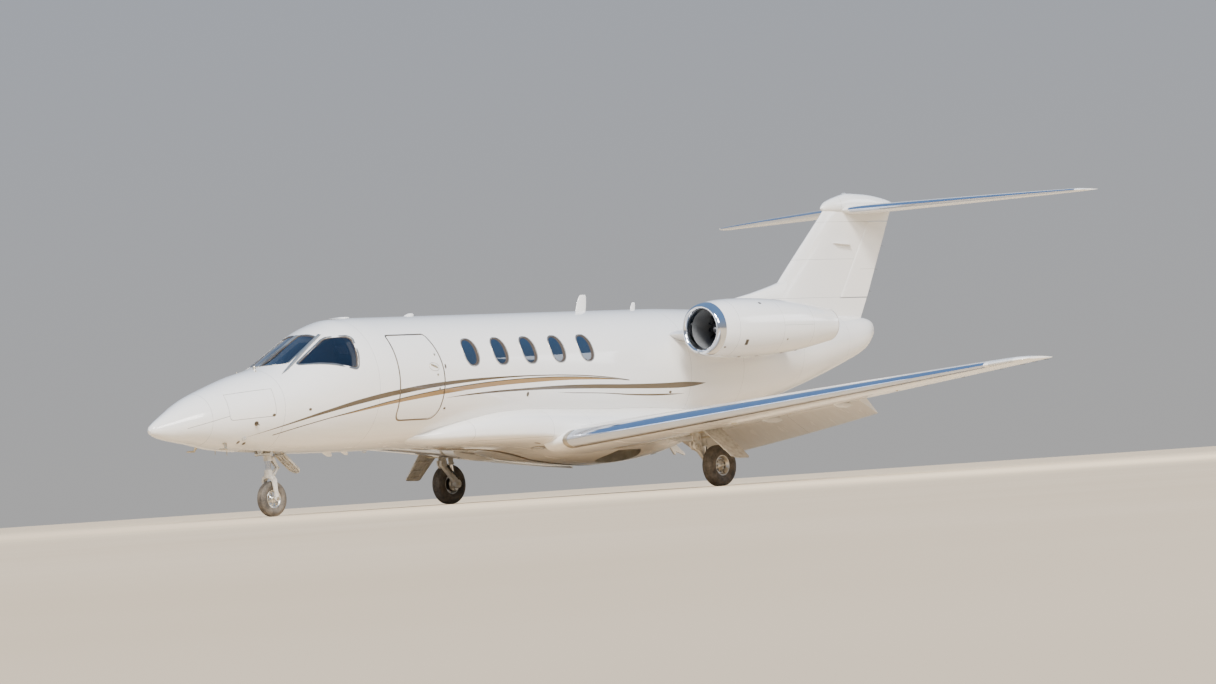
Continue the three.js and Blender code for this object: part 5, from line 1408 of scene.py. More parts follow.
def wheel(name, centre, outward, radius, width, rim, holes, body):
    """A grooved tyre and a two-part wheel with holes, bolts and a hub cap; outward is +1 or -1 along Y."""
    h = width / 2
    mid = (radius + rim) / 2
    half = [(rim + 0.001, 0.64), (rim + 0.004, 0.7), (rim + 0.012, 0.8), (rim + 0.028, 0.93),
            (mid - 0.004, 0.995),
            (mid - 0.001, 1.0), (mid + 0.003, 0.992), (mid + 0.022, 0.96), (radius - 0.026, 0.88),
            (radius - 0.01, 0.76), (radius - 0.003, 0.63), (radius - 0.001, 0.52), (radius - 0.001, 0.47),
            (radius - 0.006, 0.46), (radius - 0.006, 0.42), (radius - 0.0005, 0.41), (radius, 0.17),
            (radius - 0.006, 0.16), (radius - 0.006, 0.11), (radius, 0.1)]
    profile = [(r, out * h) for r, out in half] + [(r, -out * h) for r, out in reversed(half)]
    piece(f"{name}_tyre_rubber", axle_spun([*profile, profile[0]], centre, 96), tyre_rubber,
          sharp=50, body=body, stands_for=(body + "_tyre",), slot="tyre")
    web = rim * 0.62
    outer = [(0.0, 0.6), (0.02, 0.6), (0.026, 0.56), (0.03, 0.44), (0.036, 0.4), (0.05, 0.39),
             (web - 0.012, 0.27),
             (web + 0.016, 0.26), (rim - 0.02, 0.44), (rim - 0.012, 0.62), (rim - 0.006, 0.7),
             (rim + 0.001, 0.71),
             (rim + 0.004, 0.67), (rim + 0.001, 0.62), (rim - 0.002, 0.5), (rim - 0.004, 0.0),
             (rim - 0.002, -0.5),
             (rim + 0.001, -0.62), (rim + 0.004, -0.67), (rim + 0.001, -0.71), (rim - 0.006, -0.7),
             (rim - 0.012, -0.6),
             (rim - 0.014, 0.05), (web + 0.01, 0.13), (web - 0.012, 0.14), (0.05, 0.16), (0.04, 0.0),
             (0.038, -0.4), (0.0, -0.42)]
    bm = axle_spun([(r, out * h * outward) for r, out in outer], centre, 72)
    low, high = (-0.3 * h, h) if outward > 0 else (-h, 0.3 * h)
    size = min(0.022, 0.72 * pi * web / holes)
    middles = [off(centre, web * cos(turn), 0, web * sin(turn)) for turn in turns(holes)]
    bm = cut(bm,
             merged([rod([off(middle, 0, low, 0), off(middle, 0, high, 0)], size, 20) for middle in middles]))
    piece(f"{name}_wheel", bm, wheel_alloy, sharp=40, body=body, stands_for=(body + "_rim",),
          slot="wheel_metal")
    bolts = hexes(off(centre, 0, 0.26 * h * outward, 0), outward, web, holes, 0.0075, 0.014, pi / holes)
    bolts += hexes(off(centre, 0, 0.385 * h * outward, 0), outward, 0.043, 5, 0.005, 0.008)
    bolts.append(disc(off(centre, 0, 0.59 * h * outward, 0), (0, outward, 0), 0.016, 0.006))
    valve = off(centre, (rim - 0.026) * cos(0.4), 0.36 * h * outward, (rim - 0.026) * sin(0.4))
    bolts.append(rod([valve, off(valve, 0, 0.022 * outward, 0)], 0.004, 8))
    piece(f"{name}_bolts", merged(bolts), plated, body=body)


# Main gear: a vertical forged leg in the wing, a trailing arm behind it and an oil-and-gas shock strut.
# The brake is a stack of discs inside the wheel, fed by pipes clipped along the leg.
LEG_S, LEG_Y, LEG_TOP, PIVOT_Z = 7.18, 2.235, -0.745, -1.03
AXLE_S, AXLE_Y, AXLE_Z = 7.44, 2.38, -1.295
top, pivot = path((LEG_S + 0.06, LEG_Y, LEG_TOP), (LEG_S, LEG_Y, PIVOT_Z))
along = pivot - top
axle, arm_end = path((AXLE_S, AXLE_Y, AXLE_Z), (AXLE_S, LEG_Y, AXLE_Z))
shock_top, lug_low = path((LEG_S + 0.15, LEG_Y, -0.806), (7.38, LEG_Y, -1.205))
run = lug_low - shock_top
LUG = [(0.06, 0.055), (0.052, -0.01), (0.03, -0.042), (0.0, -0.052), (-0.03, -0.042), (-0.052, -0.01),
       (-0.048, 0.055)]
for side, name in SIDES:
    leg = [rod([top + along * share for share in (0.0, 0.1, 0.12, 0.22, 0.24, 0.6, 0.64, 0.74, 0.78, 0.96)],
               (0.06, 0.06, 0.05, 0.05, 0.046, 0.042, 0.05, 0.05, 0.041, 0.04), 28),
           boxy([off(top + along * 0.16, 0.004, 0, 0), off(top + along * 0.5, 0.014, 0, 0),
                 off(pivot, 0.004, 0, 0.05)],
                [0.02, 0.018, 0.022], [0.15, 0.128, 0.112], (1, 0, 0))]
    leg += [prism([off(pivot, a, y, b) for a, b in LUG], Vector((0, 1, 0)), 0.0, 0.024)
            for y in (-0.05, 0.014)]
    leg += [boss(pivot, -0.058, 0.034, 0.106),
            boxy(path((LEG_S + 0.034, LEG_Y, -0.85), (LEG_S + 0.095, LEG_Y, -0.822),
                      (LEG_S + 0.15, LEG_Y, -0.8)),
                 [0.05, 0.044, 0.04], [0.09, 0.062, 0.052], (0, 0, 1)),
            disc(off(top, 0, 0, -0.002), (0, 0, 1), 0.075, 0.012, 32)]
    forged(f"main_leg_{name}_forging", mirrored(leg, side), f"main_leg_{name}")

    brace_top, brace_low = path((LEG_S + 0.19, LEG_Y - 0.33, LEG_TOP + 0.002),
                                (LEG_S + 0.03, LEG_Y - 0.03, -0.93))
    elbow = brace_top.lerp(brace_low, 0.45)
    brace = [rod([brace_top, elbow], [0.022, 0.017], 16), rod([elbow, brace_low], [0.017, 0.02], 16),
             disc(off(elbow, -0.03, 0, 0), (1, 0, 0), 0.026, 0.06),
             disc(off(brace_top, -0.034, 0, -0.006), (1, 0, 0), 0.028, 0.068),
             disc(off(brace_low, -0.034, 0, 0), (1, 0, 0), 0.026, 0.068)]
    forged(f"side_brace_{name}", mirrored(brace, side))
    spring = [off(elbow.lerp(brace_low, 0.12 + 0.5 * k / 60), 0.024 + 0.007 * cos(0.9 * k),
                  0.007 * sin(0.9 * k), 0)
              for k in range(60)]
    piece(f"downlock_spring_{name}", in_mirror(rod(spring, 0.0022, 6), side), plated)

    arm = [boxy([off(pivot, 0.012, -0.006, 0.006), pivot.lerp(arm_end, 0.25), pivot.lerp(arm_end, 0.6),
                 arm_end.lerp(pivot, 0.08), off(arm_end, -0.022, 0, -0.018)],
                [0.05, 0.046, 0.05, 0.056, 0.046], [0.07, 0.06, 0.062, 0.082, 0.06], (0, 1, 0)),
           boss(pivot, -0.024, 0.044, 0.036, 28), boss(arm_end, -0.04, 0.056, 0.08, 32),
           boss(arm_end, 0.03, 0.03, 0.13), boss(lug_low, -0.03, 0.03, 0.06)]
    forged(f"main_arm_{name}_forging", mirrored(arm, side), f"main_arm_{name}")
    port = off(shock_top + run * 0.2, -0.034, 0, 0)
    cylinder = [rod([shock_top + run * share for share in (0.02, 0.1, 0.11, 0.15, 0.16, 0.52, 0.53, 0.58)],
                    (0.03, 0.032, 0.038, 0.038, 0.035, 0.035, 0.04, 0.04), 28),
                boss(shock_top, -0.034, 0.03, 0.068), rod([port, off(port, -0.022, 0, 0.006)], 0.006, 8)]
    forged(f"shock_cylinder_{name}", mirrored(cylinder, side))
    piston = rod([shock_top + run * 0.575, shock_top + run * 0.93], 0.021, 24)
    piece(f"shock_piston_{name}", in_mirror(piston, side), chrome)
    rod_end = rod([shock_top + run * 0.9, shock_top + run * 0.93, lug_low], [0.024, 0.028, 0.024], 20)
    piece(f"shock_end_{name}", in_mirror(rod_end, side), plated)

    stack = [(radius, out + 0.011 * k) for k in range(6)
             for radius, out in ((0.088, -0.082), (0.088, -0.077), (0.082, -0.0765), (0.082, -0.0715))]
    discs = axle_spun([(0.034, -0.084), *stack, (0.034, -0.016)], axle, 48)
    piece(f"brake_discs_{name}", in_mirror(discs, side), core_metal, sharp=30)
    housing = [axle_spun([(0.032, -0.106), (0.084, -0.106), (0.092, -0.1), (0.092, -0.086), (0.084, -0.082),
                          (0.032, -0.082)], axle, 40)]
    for turn in [2 * pi * (k + 0.5) / 6 for k in range(6)]:
        housing.append(disc(off(axle, 0.064 * cos(turn), -0.126, 0.064 * sin(turn)), (0, 1, 0),
                            0.017, 0.024, 18))
    piece(f"brake_housing_{name}", mirrored(housing, side), wheel_alloy)
    pipes = [rod([off(top + along * 0.03, -0.052, y, 0), off(top + along * 0.35, -0.05, y, 0),
                  off(top + along * 0.72, -0.05, y, 0), off(pivot, -0.058, y - 0.01, 0.03),
                  off(pivot.lerp(arm_end, 0.3), -0.03, y - 0.035, 0.024),
                  off(pivot.lerp(arm_end, 0.7), -0.03, y - 0.034, 0.034), off(arm_end, 0.02, y, 0.066),
                  off(axle, 0.05 - y, -0.118, 0.075)], 0.0045, 8) for y in (-0.012, 0.004)]
    piece(f"brake_pipes_{name}", mirrored(pipes, side), hose_black)
    clips = [rod([off(top + along * share, x, y, 0) for x, y in
                  ((0, -0.044), (-0.036, -0.04), (-0.058, -0.012), (-0.054, 0.012), (-0.03, 0.036))], 0.004,
                 6)
             for share in (0.18, 0.42, 0.68)]
    clips += [boss(pivot, 0.034, 0.02, 0.016, 6), boss(arm_end, -0.052, 0.022, 0.014, 6),
              boss(lug_low, 0.026, 0.014, 0.012, 6), boss(shock_top, 0.03, 0.014, 0.012, 6)]
    piece(f"gear_clips_{name}", mirrored(clips, side), plated)
    wheel(f"main_{name}", place(AXLE_S, side * AXLE_Y, AXLE_Z), side, 0.26, 0.168, 0.126, 9,
          f"main_wheel_{name}")

    # leg door: a curved panel on two links, stiffened by pressed channels on its inner face
    corners = path((7.04, 2.44, -0.8), (7.42, 2.44, -0.8), (7.4, 2.9, -1.21), (7.12, 2.9, -1.21))
    face_way = (corners[1] - corners[0]).cross(corners[3] - corners[0]).normalized()
    down = (corners[3] - corners[0] + corners[2] - corners[1]).normalized()
    across = (corners[1] - corners[0]).normalized()
    flat = [((corner - corners[0]).dot(across), (corner - corners[0]).dot(down)) for corner in corners]
    panel = prism([corners[0] + across * a + down * b for a, b in rounded(flat, 0.045)], face_way,
                  -0.004, 0.004)
    ribs = []
    for share in (0.16, 0.42, 0.7, 0.9):
        left = corners[0].lerp(corners[3], share)
        right = corners[1].lerp(corners[2], share)
        ribs.append(bar(left.lerp(right, 0.06), left.lerp(right, 0.94), 0.034, 0.014, face_way))
    for share in (0.12, 0.86):
        ribs.append(bar(corners[0].lerp(corners[1], share) + down * 0.03,
                        corners[3].lerp(corners[2], share) - down * 0.04, 0.03, 0.012, face_way))
    inner = -face_way if face_way.y > 0 else face_way
    for rib in ribs:
        bmesh.ops.translate(rib, verts=rib.verts, vec=inner * 0.007)
    forged(f"main_gear_door_{name}_panel", mirrored([panel, *ribs], side), f"main_gear_door_{name}", sharp=30)
    links = [rod(path((7.25, 2.28, -0.93), (7.22, 2.56, -0.925)), 0.01, 10),
             rod(path((7.21, 2.275, -0.87), (7.16, 2.5, -0.862)), 0.008, 10)]
    piece(f"door_links_{name}", mirrored(links, side), plated)

    # inside the leg's bay: ribs and a pipe run on a primed skin
    bay = [bar(place(7.1, y, -0.754), place(7.45, y, -0.754), 0.012, 0.018) for y in (1.62, 1.8, 1.98)]
    bay.append(rod(path((7.13, 1.5, -0.762), (7.13, 2.1, -0.762), (7.15, 2.16, -0.775)), 0.006, 8))
    piece(f"leg_bay_{name}_ribs", mirrored(bay, side), bay_metal)


# Nose gear: an upright shock strut that the fork turns on, folding scissor links behind,
# a drag brace ahead, a landing lamp, and a long ribbed door standing open at the back.
strut_top, strut_end = path((1.9, 0, -0.452), (1.9, 0, -0.88))
run = strut_end - strut_top
strut = [rod([strut_top + run * share
              for share in (0.0, 0.05, 0.06, 0.3, 0.31, 0.36, 0.37, 0.78, 0.79, 0.86, 0.87, 1.0)],
             (0.062, 0.062, 0.05, 0.048, 0.056, 0.056, 0.047, 0.046, 0.058, 0.058, 0.052, 0.05), 32)]
strut += [disc(place(1.9, y, -0.52), (0, 1, 0), 0.032, 0.04) for y in (-0.105, 0.065)]
strut.append(bar(place(1.9, -0.1, -0.52), place(1.9, 0.1, -0.52), 0.04, 0.046))
forged("nose_strut_forging", merged(strut), "nose_strut")
brace = [rod(path((1.57, y, -0.47), (1.88, 0.7 * y, -0.7)), [0.017, 0.014], 14) for y in (-0.06, 0.06)]
brace += [disc(place(1.57, -0.085, -0.472), (0, 1, 0), 0.022, 0.17),
          disc(place(1.878, -0.058, -0.698), (0, 1, 0), 0.022, 0.116),
          bar(place(1.72, -0.055, -0.582), place(1.72, 0.055, -0.582), 0.016, 0.022, (1, 0, 1))]
forged("nose_drag_brace", merged(brace))
steering = [rod(path((1.842, -0.12, -0.79), (1.842, 0.12, -0.79)), 0.021, 20),
            disc(place(1.842, -0.14, -0.79), (0, 1, 0), 0.026, 0.03),
            disc(place(1.842, 0.11, -0.79), (0, 1, 0), 0.026, 0.03)]
piece("steering_cylinder", merged(steering), wheel_alloy)
lines = [rod(path((1.862, side * 0.03, -0.47), (1.85, side * 0.034, -0.6), (1.85, side * 0.044, -0.72),
                  (1.838, side * 0.1, -0.762)), 0.0045, 8) for side in (1, -1)]
lines.append(rod(path((1.935, 0.034, -0.47), (1.952, 0.036, -0.62), (1.95, 0.04, -0.76),
                      (1.99, 0.034, -0.86)), 0.004, 8))
piece("nose_gear_hoses", merged(lines), hose_black)
LAMP_Z = -0.745
can = rod([place(s, 0, LAMP_Z) for s in (1.856, 1.822, 1.79, 1.78)], [0.018, 0.036, 0.043, 0.043], 28)
bezel = rod([place(s, 0, LAMP_Z) for s in (1.79, 1.789, 1.78, 1.777)], [0.043, 0.047, 0.047, 0.044], 28)
piece("landing_lamp", merged([can, bezel]), wheel_alloy)
piece("landing_lens", rod([place(s, 0, LAMP_Z) for s in (1.7775, 1.773, 1.769)], [0.041, 0.038, 0.02], 28),
      lamp_glass)

nose_axle = place(1.93, 0, -1.34)
piston = rod(path((1.9, 0, -0.884), (1.9, 0, -0.91), (1.9, 0, -0.912), (1.9, 0, -1.0)),
             [0.04, 0.04, 0.034, 0.034], 28)
piece("nose_piston", piston, chrome, sharp=40, body="nose_steer")
fork = [rod(path((1.9, 0, -0.985), (1.9, 0, -1.0), (1.9, 0, -1.05), (1.902, 0, -1.085)),
            [0.046, 0.05, 0.052, 0.044], 28)]
for side in (1, -1):
    line = path((1.9, side * 0.014, -1.062), (1.902, side * 0.06, -1.08), (1.905, side * 0.086, -1.118),
                (1.912, side * 0.09, -1.19), (1.922, side * 0.089, -1.27), (1.929, side * 0.088, -1.332))
    fork.append(boxy(line, [0.046, 0.042, 0.032, 0.027, 0.026, 0.028],
                     [0.07, 0.074, 0.07, 0.06, 0.054, 0.058], (1, 0, 0)))
    fork.append(disc(off(nose_axle, 0, side * 0.074, 0), (0, side, 0), 0.036, 0.03, 28))
forged("nose_fork_forging", merged(fork), "nose_fork", "nose_steer", sharp=40)
knee, link_top, link_low = path((2.05, 0, -0.965), (1.95, 0, -0.84), (1.945, 0, -1.06))
links = []
for start in (link_top, link_low):
    for side in (1, -1):
        line = [off(start, 0, side * 0.036, 0), off(start.lerp(knee, 0.5), 0, side * 0.024, 0),
                off(knee, 0, side * 0.012, 0)]
        links.append(boxy(line, [0.014, 0.012, 0.014], [0.044, 0.03, 0.03], (1, 0, 0.5)))
    links.append(boss(start, -0.052, 0.018, 0.104))
links.append(boss(knee, -0.028, 0.018, 0.056))
forged("scissor_links", merged(links), body="nose_steer")
pins = [disc(off(centre, 0, side * y, 0), (0, side, 0), radius, length, 6)
        for centre, y, radius, length in ((nose_axle, 0.102, 0.022, 0.014), (knee, 0.026, 0.011, 0.01),
                                          (link_top, 0.05, 0.011, 0.01), (link_low, 0.05, 0.011, 0.01))
        for side in (1, -1)]
piece("nose_gear_pins", merged(pins), plated, body="nose_steer")
wheel("nose", nose_axle, 1, 0.215, 0.114, 0.11, 7, "nose_wheel")

top, low = path((2.105, 0, -0.8), (2.39, 0, -1.035))
down = (low - top).normalized()
face_way = down.cross(Vector((0, 1, 0))).normalized()
length = (low - top).length
half, end = 0.09, 0.085
shape = [(-half, 0.0), (half, 0.0), (half, length - end)]
shape += [(half * cos(a), length - end + end * sin(a)) for a in [radians(15 * k) for k in range(1, 12)]]
shape += [(-half, length - end)]
rim = [top + Vector((0, a, 0)) + down * b for a, b in shape]
door = [prism(rim, face_way, -0.004, 0.004),
        swept(along_outline(rim, [face_way] * len(rim)),
              [(-0.012, 0.002), (-0.012, 0.018), (-0.009, 0.021), (-0.001, 0.021), (0.0, 0.018),
               (0.0, 0.002)])]
reach = length - 0.035
for y in (-0.03, 0.03):
    root = off(top, 0, y, 0)
    door.append(boxy([root + down * 0.012 + face_way * 0.011, root + down * reach * 0.6 + face_way * 0.012,
                      root + down * reach + face_way * 0.008], [0.026, 0.024, 0.018],
                     [0.018, 0.018, 0.01], face_way))
for share in (0.05, 0.34, 0.62):
    middle = top + down * length * share + face_way * 0.01
    door.append(bar(off(middle, 0, 0.006 - half, 0), off(middle, 0, half - 0.006, 0), 0.024, 0.014, face_way))
forged("nose_gear_door_panel", merged(door), "nose_gear_door", sharp=30)
arms = [rod([*path((1.955, y, -0.7), (2.06, y * 1.2, -0.76)), off(top, 0, y * 1.4, 0) + down * 0.1
             + face_way * 0.02],
            0.009, 10) for y in (-0.05, 0.05)]
piece("nose_door_links", merged(arms), plated)


# Cabin and cockpit: moulded side lining, wool carpet, leather seats and the flight deck.
# They show through the windows and behind the open door.
def soft_cloth(name, light, dark, weave, rough, bump):
    """Leather, carpet or lining: a small grain under larger worn patches."""
    made, tree, shader = material(name, Specular_IOR_Level=0.35)
    point = object_point(tree)
    fine = add(tree, "TexVoronoi", {"Vector": point, "Scale": weave}).outputs["Distance"]
    both = scaled(tree, fine, 0.35, sum_of(tree, "MULTIPLY", noise(tree, point, 5.0, 4.0), 0.8))
    finish(tree, shader, blended(tree, both, light, dark), scaled(tree, fine, 0.2, rough),
           bumps(tree, fine, bump, 0.001))
    return made


seat_leather = soft_cloth("Seat leather", (0.5, 0.42, 0.32, 1), (0.33, 0.26, 0.19, 1), 260.0, 0.38, 0.25)
crew_leather = soft_cloth("Crew seat leather", (0.34, 0.29, 0.23, 1), (0.2, 0.17, 0.14, 1), 260.0, 0.42, 0.25)
carpet = soft_cloth("Wool carpet", (0.21, 0.18, 0.15, 1), (0.11, 0.09, 0.075, 1), 420.0, 0.85, 0.7)
lining = soft_cloth("Side lining", (0.62, 0.57, 0.49, 1), (0.5, 0.45, 0.38, 1), 520.0, 0.6, 0.2)
trim_dark = soft_cloth("Dark moulded trim", (0.035, 0.035, 0.038, 1), (0.016, 0.016, 0.018, 1),
                       600.0, 0.55, 0.3)
FLOOR_Z = -0.56

reach = spaced((2.35, 8.6, 0.0875))
bm = cut(hull_skin(reach, -WALL - 0.003, 80),
         hull_skin([reach[0] - 0.1, *reach, reach[-1] + 0.1], -WALL - 0.012, 80),
         block((2.2, 8.8), (-1.0, 1.0), (-1.0, FLOOR_Z + 0.004)), door_prism(0.02))
openings = [through_side(window_oval(s, -0.006), side) for side in (1, -1) for s in CABIN_WINDOWS[side]]
bm = cut(bm, merged(openings))
bm = cut(bm, merged([through_side(rounded(COCKPIT_WINDOW, 0.04), side) for side in (1, -1)]))
piece("cabin_lining", cut(bm, block((2.0, 2.66), (-0.9, 0.9), (-0.2, 0.9))), lining, sharp=40)

rings = []
for s in spaced((2.36, 8.56, 0.31)):
    halves = []
    for z in (FLOOR_Z - 0.08, FLOOR_Z):
        top, bottom, half, waist = smooth_row(FUSELAGE, s)
        depth = min(0.999, (waist - z) / (waist - bottom))
        halves.append(min(0.7, half * sqrt(1 - depth * depth) - WALL - 0.035))
    low, high = halves
    rings.append([place(s, y, FLOOR_Z + z) for y, z in
                  ((-low, -0.08), (low, -0.08), (high, -0.006), (high - 0.006, 0), (0.006 - high, 0),
                   (-high, -0.006))])
piece("cabin_carpet", rolled(rings), carpet, sharp=40, stands_for=("cabin_floor",), slot="floor_carpet")


def cushion(centre, across, along, out, width, length, thick, channels=0):
    """A sewn leather pad: crowned, pulled in at its corners, with stitched channels across it."""
    rings = []
    for i in range(29):
        v = sin(pi / 2 * (i / 14 - 1))
        slim = (1 - abs(v) ** 7) ** 0.4
        ring = []
        for a in turns(36):
            c, s = cos(a), sin(a)
            wide = width / 2 * (0.9 + 0.1 * (1 - abs(v) ** 4)) * (1 if c > 0 else -1) * abs(c) ** 0.55
            tall = thick / 2 * slim * (1 if s > 0 else -1) * abs(s) ** 0.8
            if channels and s > 0:
                groove = abs(cos(pi * (v + 1) / 2 * channels)) ** 0.5
                tall *= 0.8 + 0.2 * groove
            ring.append(centre + across * wide + along * (length / 2 * v) + out * tall)
        rings.append(ring)
    return rolled(rings)


def padded_piece(name, parts, leather, node=None):
    made = piece(name, merged(parts), leather, sharp=60, stands_for=(node,) if node else (),
                 slot="seat_leather" if node else None)


def seat(station, y, facing):
    """Pads, arm caps and shroud of one seat; facing is 1 towards the nose, -1 towards the tail."""
    right = Vector((0, 1, 0))
    forward = Vector((facing, 0, 0))

    def spot(aft, up, side=0.0):
        return place(station, y, FLOOR_Z) + forward * -aft + Vector((0, side, up))

    lean = (spot(0.285, 0.8) - spot(0.175, 0.34)).normalized()
    front = forward * lean.z + Vector((0, 0, -lean.dot(forward)))
    flat = Vector((0, 0, 1))
    pads = [cushion(spot(-0.02, 0.275), right, forward, flat, 0.386, 0.385, 0.125, 3),
            cushion(spot(0.232, 0.5), right, lean, front, 0.38, 0.44, 0.095, 4),
            cushion(spot(0.29, 0.755), right, lean, front, 0.26, 0.15, 0.085)]
    arms = [cushion(spot(0.0, 0.448, side * 0.183), right, forward, flat, 0.036, 0.33, 0.04)
            for side in (1, -1)]
    hard = [bar(spot(-0.15, 0.205), spot(0.13, 0.19), 0.36, 0.036),
            boxy([spot(0.0, 0.0), spot(0.0, 0.19)], [0.3, 0.26], [0.25, 0.23], (1, 0, 0)),
            boxy([spot(0.205, 0.22), spot(0.262, 0.5), spot(0.322, 0.8)], [0.34, 0.34, 0.25],
                 [0.03, 0.03, 0.026], (1, 0, 0))]
    hard += [boxy([spot(-0.02, 0.22, side * 0.183), spot(-0.02, 0.425, side * 0.183)], [0.024, 0.024],
                  [0.3, 0.32], (1, 0, 0)) for side in (1, -1)]
    return pads, arms, hard


for side, name in SIDES:
    pads, arms, hard = [], [], []
    for station, facing in ((4.7, -1), (5.9, 1), (7.08, 1)):
        for found, more in zip((pads, arms, hard), seat(station, side * 0.365, facing)):
            found += more
    padded_piece(f"cabin_seat_pads_{name}", pads, seat_leather, f"cabin_seats_{name}")
    padded_piece(f"cabin_seat_arms_{name}", arms, seat_leather)
    hard.append(bar(place(4.35, side * 0.365, FLOOR_Z + 0.006), place(7.4, side * 0.365, FLOOR_Z + 0.006),
                    0.06, 0.014))
    piece(f"cabin_seat_shells_{name}", merged(hard), trim_dark, sharp=40)
    pads, arms, hard = seat(2.98, side * 0.33, 1)
    padded_piece(f"crew_seat_pads_{name}", pads + arms, crew_leather, f"pilot_seat_{name}")
    piece(f"crew_seat_shell_{name}", merged(hard), trim_dark, sharp=40)

# Flight deck: a padded glare shield over four flat displays, two yokes and a centre pedestal
screen_glass, tree, shader = material("Display glass", Coat_Weight=0.8, Coat_Roughness=0.03)
point = object_point(tree)
cells = add(tree, "TexBrick", {"Vector": point, "Scale": 34.0}).outputs["Fac"]
glow = noise(tree, point, 20.0, 2.0)
lit = sum_of(tree, "MULTIPLY", cells, glow)
finish(tree, shader, blended(tree, lit, (0.01, 0.014, 0.02, 1), (0.05, 0.1, 0.14, 1)),
       scaled(tree, glow, 0.08, 0.08))
board = [(-0.46, -0.3), (0.46, -0.3), (0.5, -0.05), (0.44, 0.125), (-0.44, 0.125), (-0.5, -0.05)]
pedestal = [(2.4, -0.56), (2.7, -0.56), (2.7, -0.3), (2.64, -0.23), (2.4, -0.12)]
panel = [prism([place(2.385, y, z) for y, z in board], Vector((1, 0, 0)), -0.03, 0.03),
         side_prism(rounded(pedestal, 0.02), -0.088, 0.088)]
piece("instrument_board", merged(panel), trim_dark, stands_for=("instrument_panel",), slot="panel_plastic")
shield = []
for y in spaced((-0.46, 0.46, 0.046)):
    drop = 0.03 * (y / 0.46) ** 2
    shield.append([place(s, y, z - drop)
                   for s, z in ((2.245, 0.128), (2.43, 0.118), (2.448, 0.124), (2.452, 0.14),
                                (2.44, 0.156), (2.38, 0.164), (2.25, 0.146))])
piece("glare_shield", rolled(shield), trim_dark, sharp=50)
screens = [bar(place(2.4165, y, -0.1), place(2.4165, y, 0.07), 0.19, 0.006, (1, 0, 0))
           for y in (-0.33, -0.11, 0.11, 0.33)]
screens.append(bar(place(2.5, 0, -0.162), place(2.61, 0, -0.205), 0.12, 0.008))
piece("displays", merged(screens), screen_glass, sharp=40)
knobs = [disc(place(2.418, y, z), (-1, 0, 0), 0.008, 0.016, 16)
         for y in (-0.4, -0.26, -0.04, 0.04, 0.26, 0.4) for z in (-0.14, -0.17)]
knobs += [rod(path((2.56, y, -0.18), (2.545, y, -0.1), (2.55, y, -0.085)), [0.005, 0.005, 0.013], 10)
          for y in (-0.035, 0.035)]
piece("panel_knobs", merged(knobs), wheel_alloy, sharp=40)
GRIP = [(-0.13, 0.055), (-0.145, 0.02), (-0.13, -0.02), (-0.07, -0.035), (0, -0.03), (0.07, -0.035),
        (0.13, -0.02), (0.145, 0.02), (0.13, 0.055)]
for side, name in SIDES:
    y, z = side * 0.33, -0.045
    yoke = [rod(path((2.415, y, z), (2.56, y, z)), 0.014, 14),
            rod([place(2.56, y + a, z + b) for a, b in GRIP], 0.013, 12),
            disc(place(2.548, y, z), (-1, 0, 0), 0.034, 0.026, 20)]
    piece(f"yoke_{name}", merged(yoke), trim_dark, sharp=50)
    visor = [hull_side(s, z, side, -0.11)
             for s, z in ((2.7, 0.545), (2.845, 0.545), (2.84, 0.4), (2.7, 0.43))]
    sheet = prism(visor, (visor[1] - visor[0]).cross(visor[3] - visor[0]).normalized(), -0.002, 0.002)
    piece(f"sun_visor_{name}", sheet, trim_dark, sharp=40)


def wall(station, edge, corner, half):
    """A flat partition across the cabin, from an edge of (y, height) points with rounded corners."""
    return prism([place(station, y, z) for y, z in rounded(edge, corner)], Vector((1, 0, 0)), -half, half)


edges = [[(side * a, b) for a, b in ((0.2, -0.555), (0.56, -0.555), (0.68, -0.3), (0.7, 0.0), (0.66, 0.3),
                                     (0.5, 0.56), (0.2, 0.66))] for side in (1, -1)]
walls = [wall(4.3, edges[0], 0.04, 0.02), *[wall(3.36, edge, 0.04, 0.02) for edge in edges]]
piece("cabin_partitions", merged(walls), lining, sharp=40)
rear = [(-0.56, -0.555), (0.56, -0.555), (0.68, -0.28), (0.69, 0.02), (0.64, 0.32), (0.4, 0.62), (-0.4, 0.62),
        (-0.64, 0.32), (-0.69, 0.02), (-0.68, -0.28)]
piece("rear_bulkhead", wall(8.3, rear, 0.05, 0.015), lining, sharp=40)
tables = [bar(place(5.3, side * 0.44, -0.03), place(5.3, side * 0.66, -0.03), 0.34, 0.026)
          for side in (1, -1)]
ledges = [bar(place(4.45, side * 0.655, -0.02), place(7.9, side * 0.655, -0.02), 0.06, 0.05)
          for side in (1, -1)]
wood, tree, shader = material("Varnished veneer", Coat_Weight=0.8, Coat_Roughness=0.06)
waves = {"Vector": object_point(tree), "Scale": 7.0, "Distortion": 9.0, "Detail": 3.0, "Detail Scale": 1.5}
grain = add(tree, "TexWave", waves).outputs[0]
finish(tree, shader, blended(tree, grain, (0.1, 0.038, 0.016, 1), (0.22, 0.1, 0.045, 1)),
       scaled(tree, grain, 0.1, 0.25))
piece("cabin_tables", merged([*tables, *ledges]), wood, sharp=40)
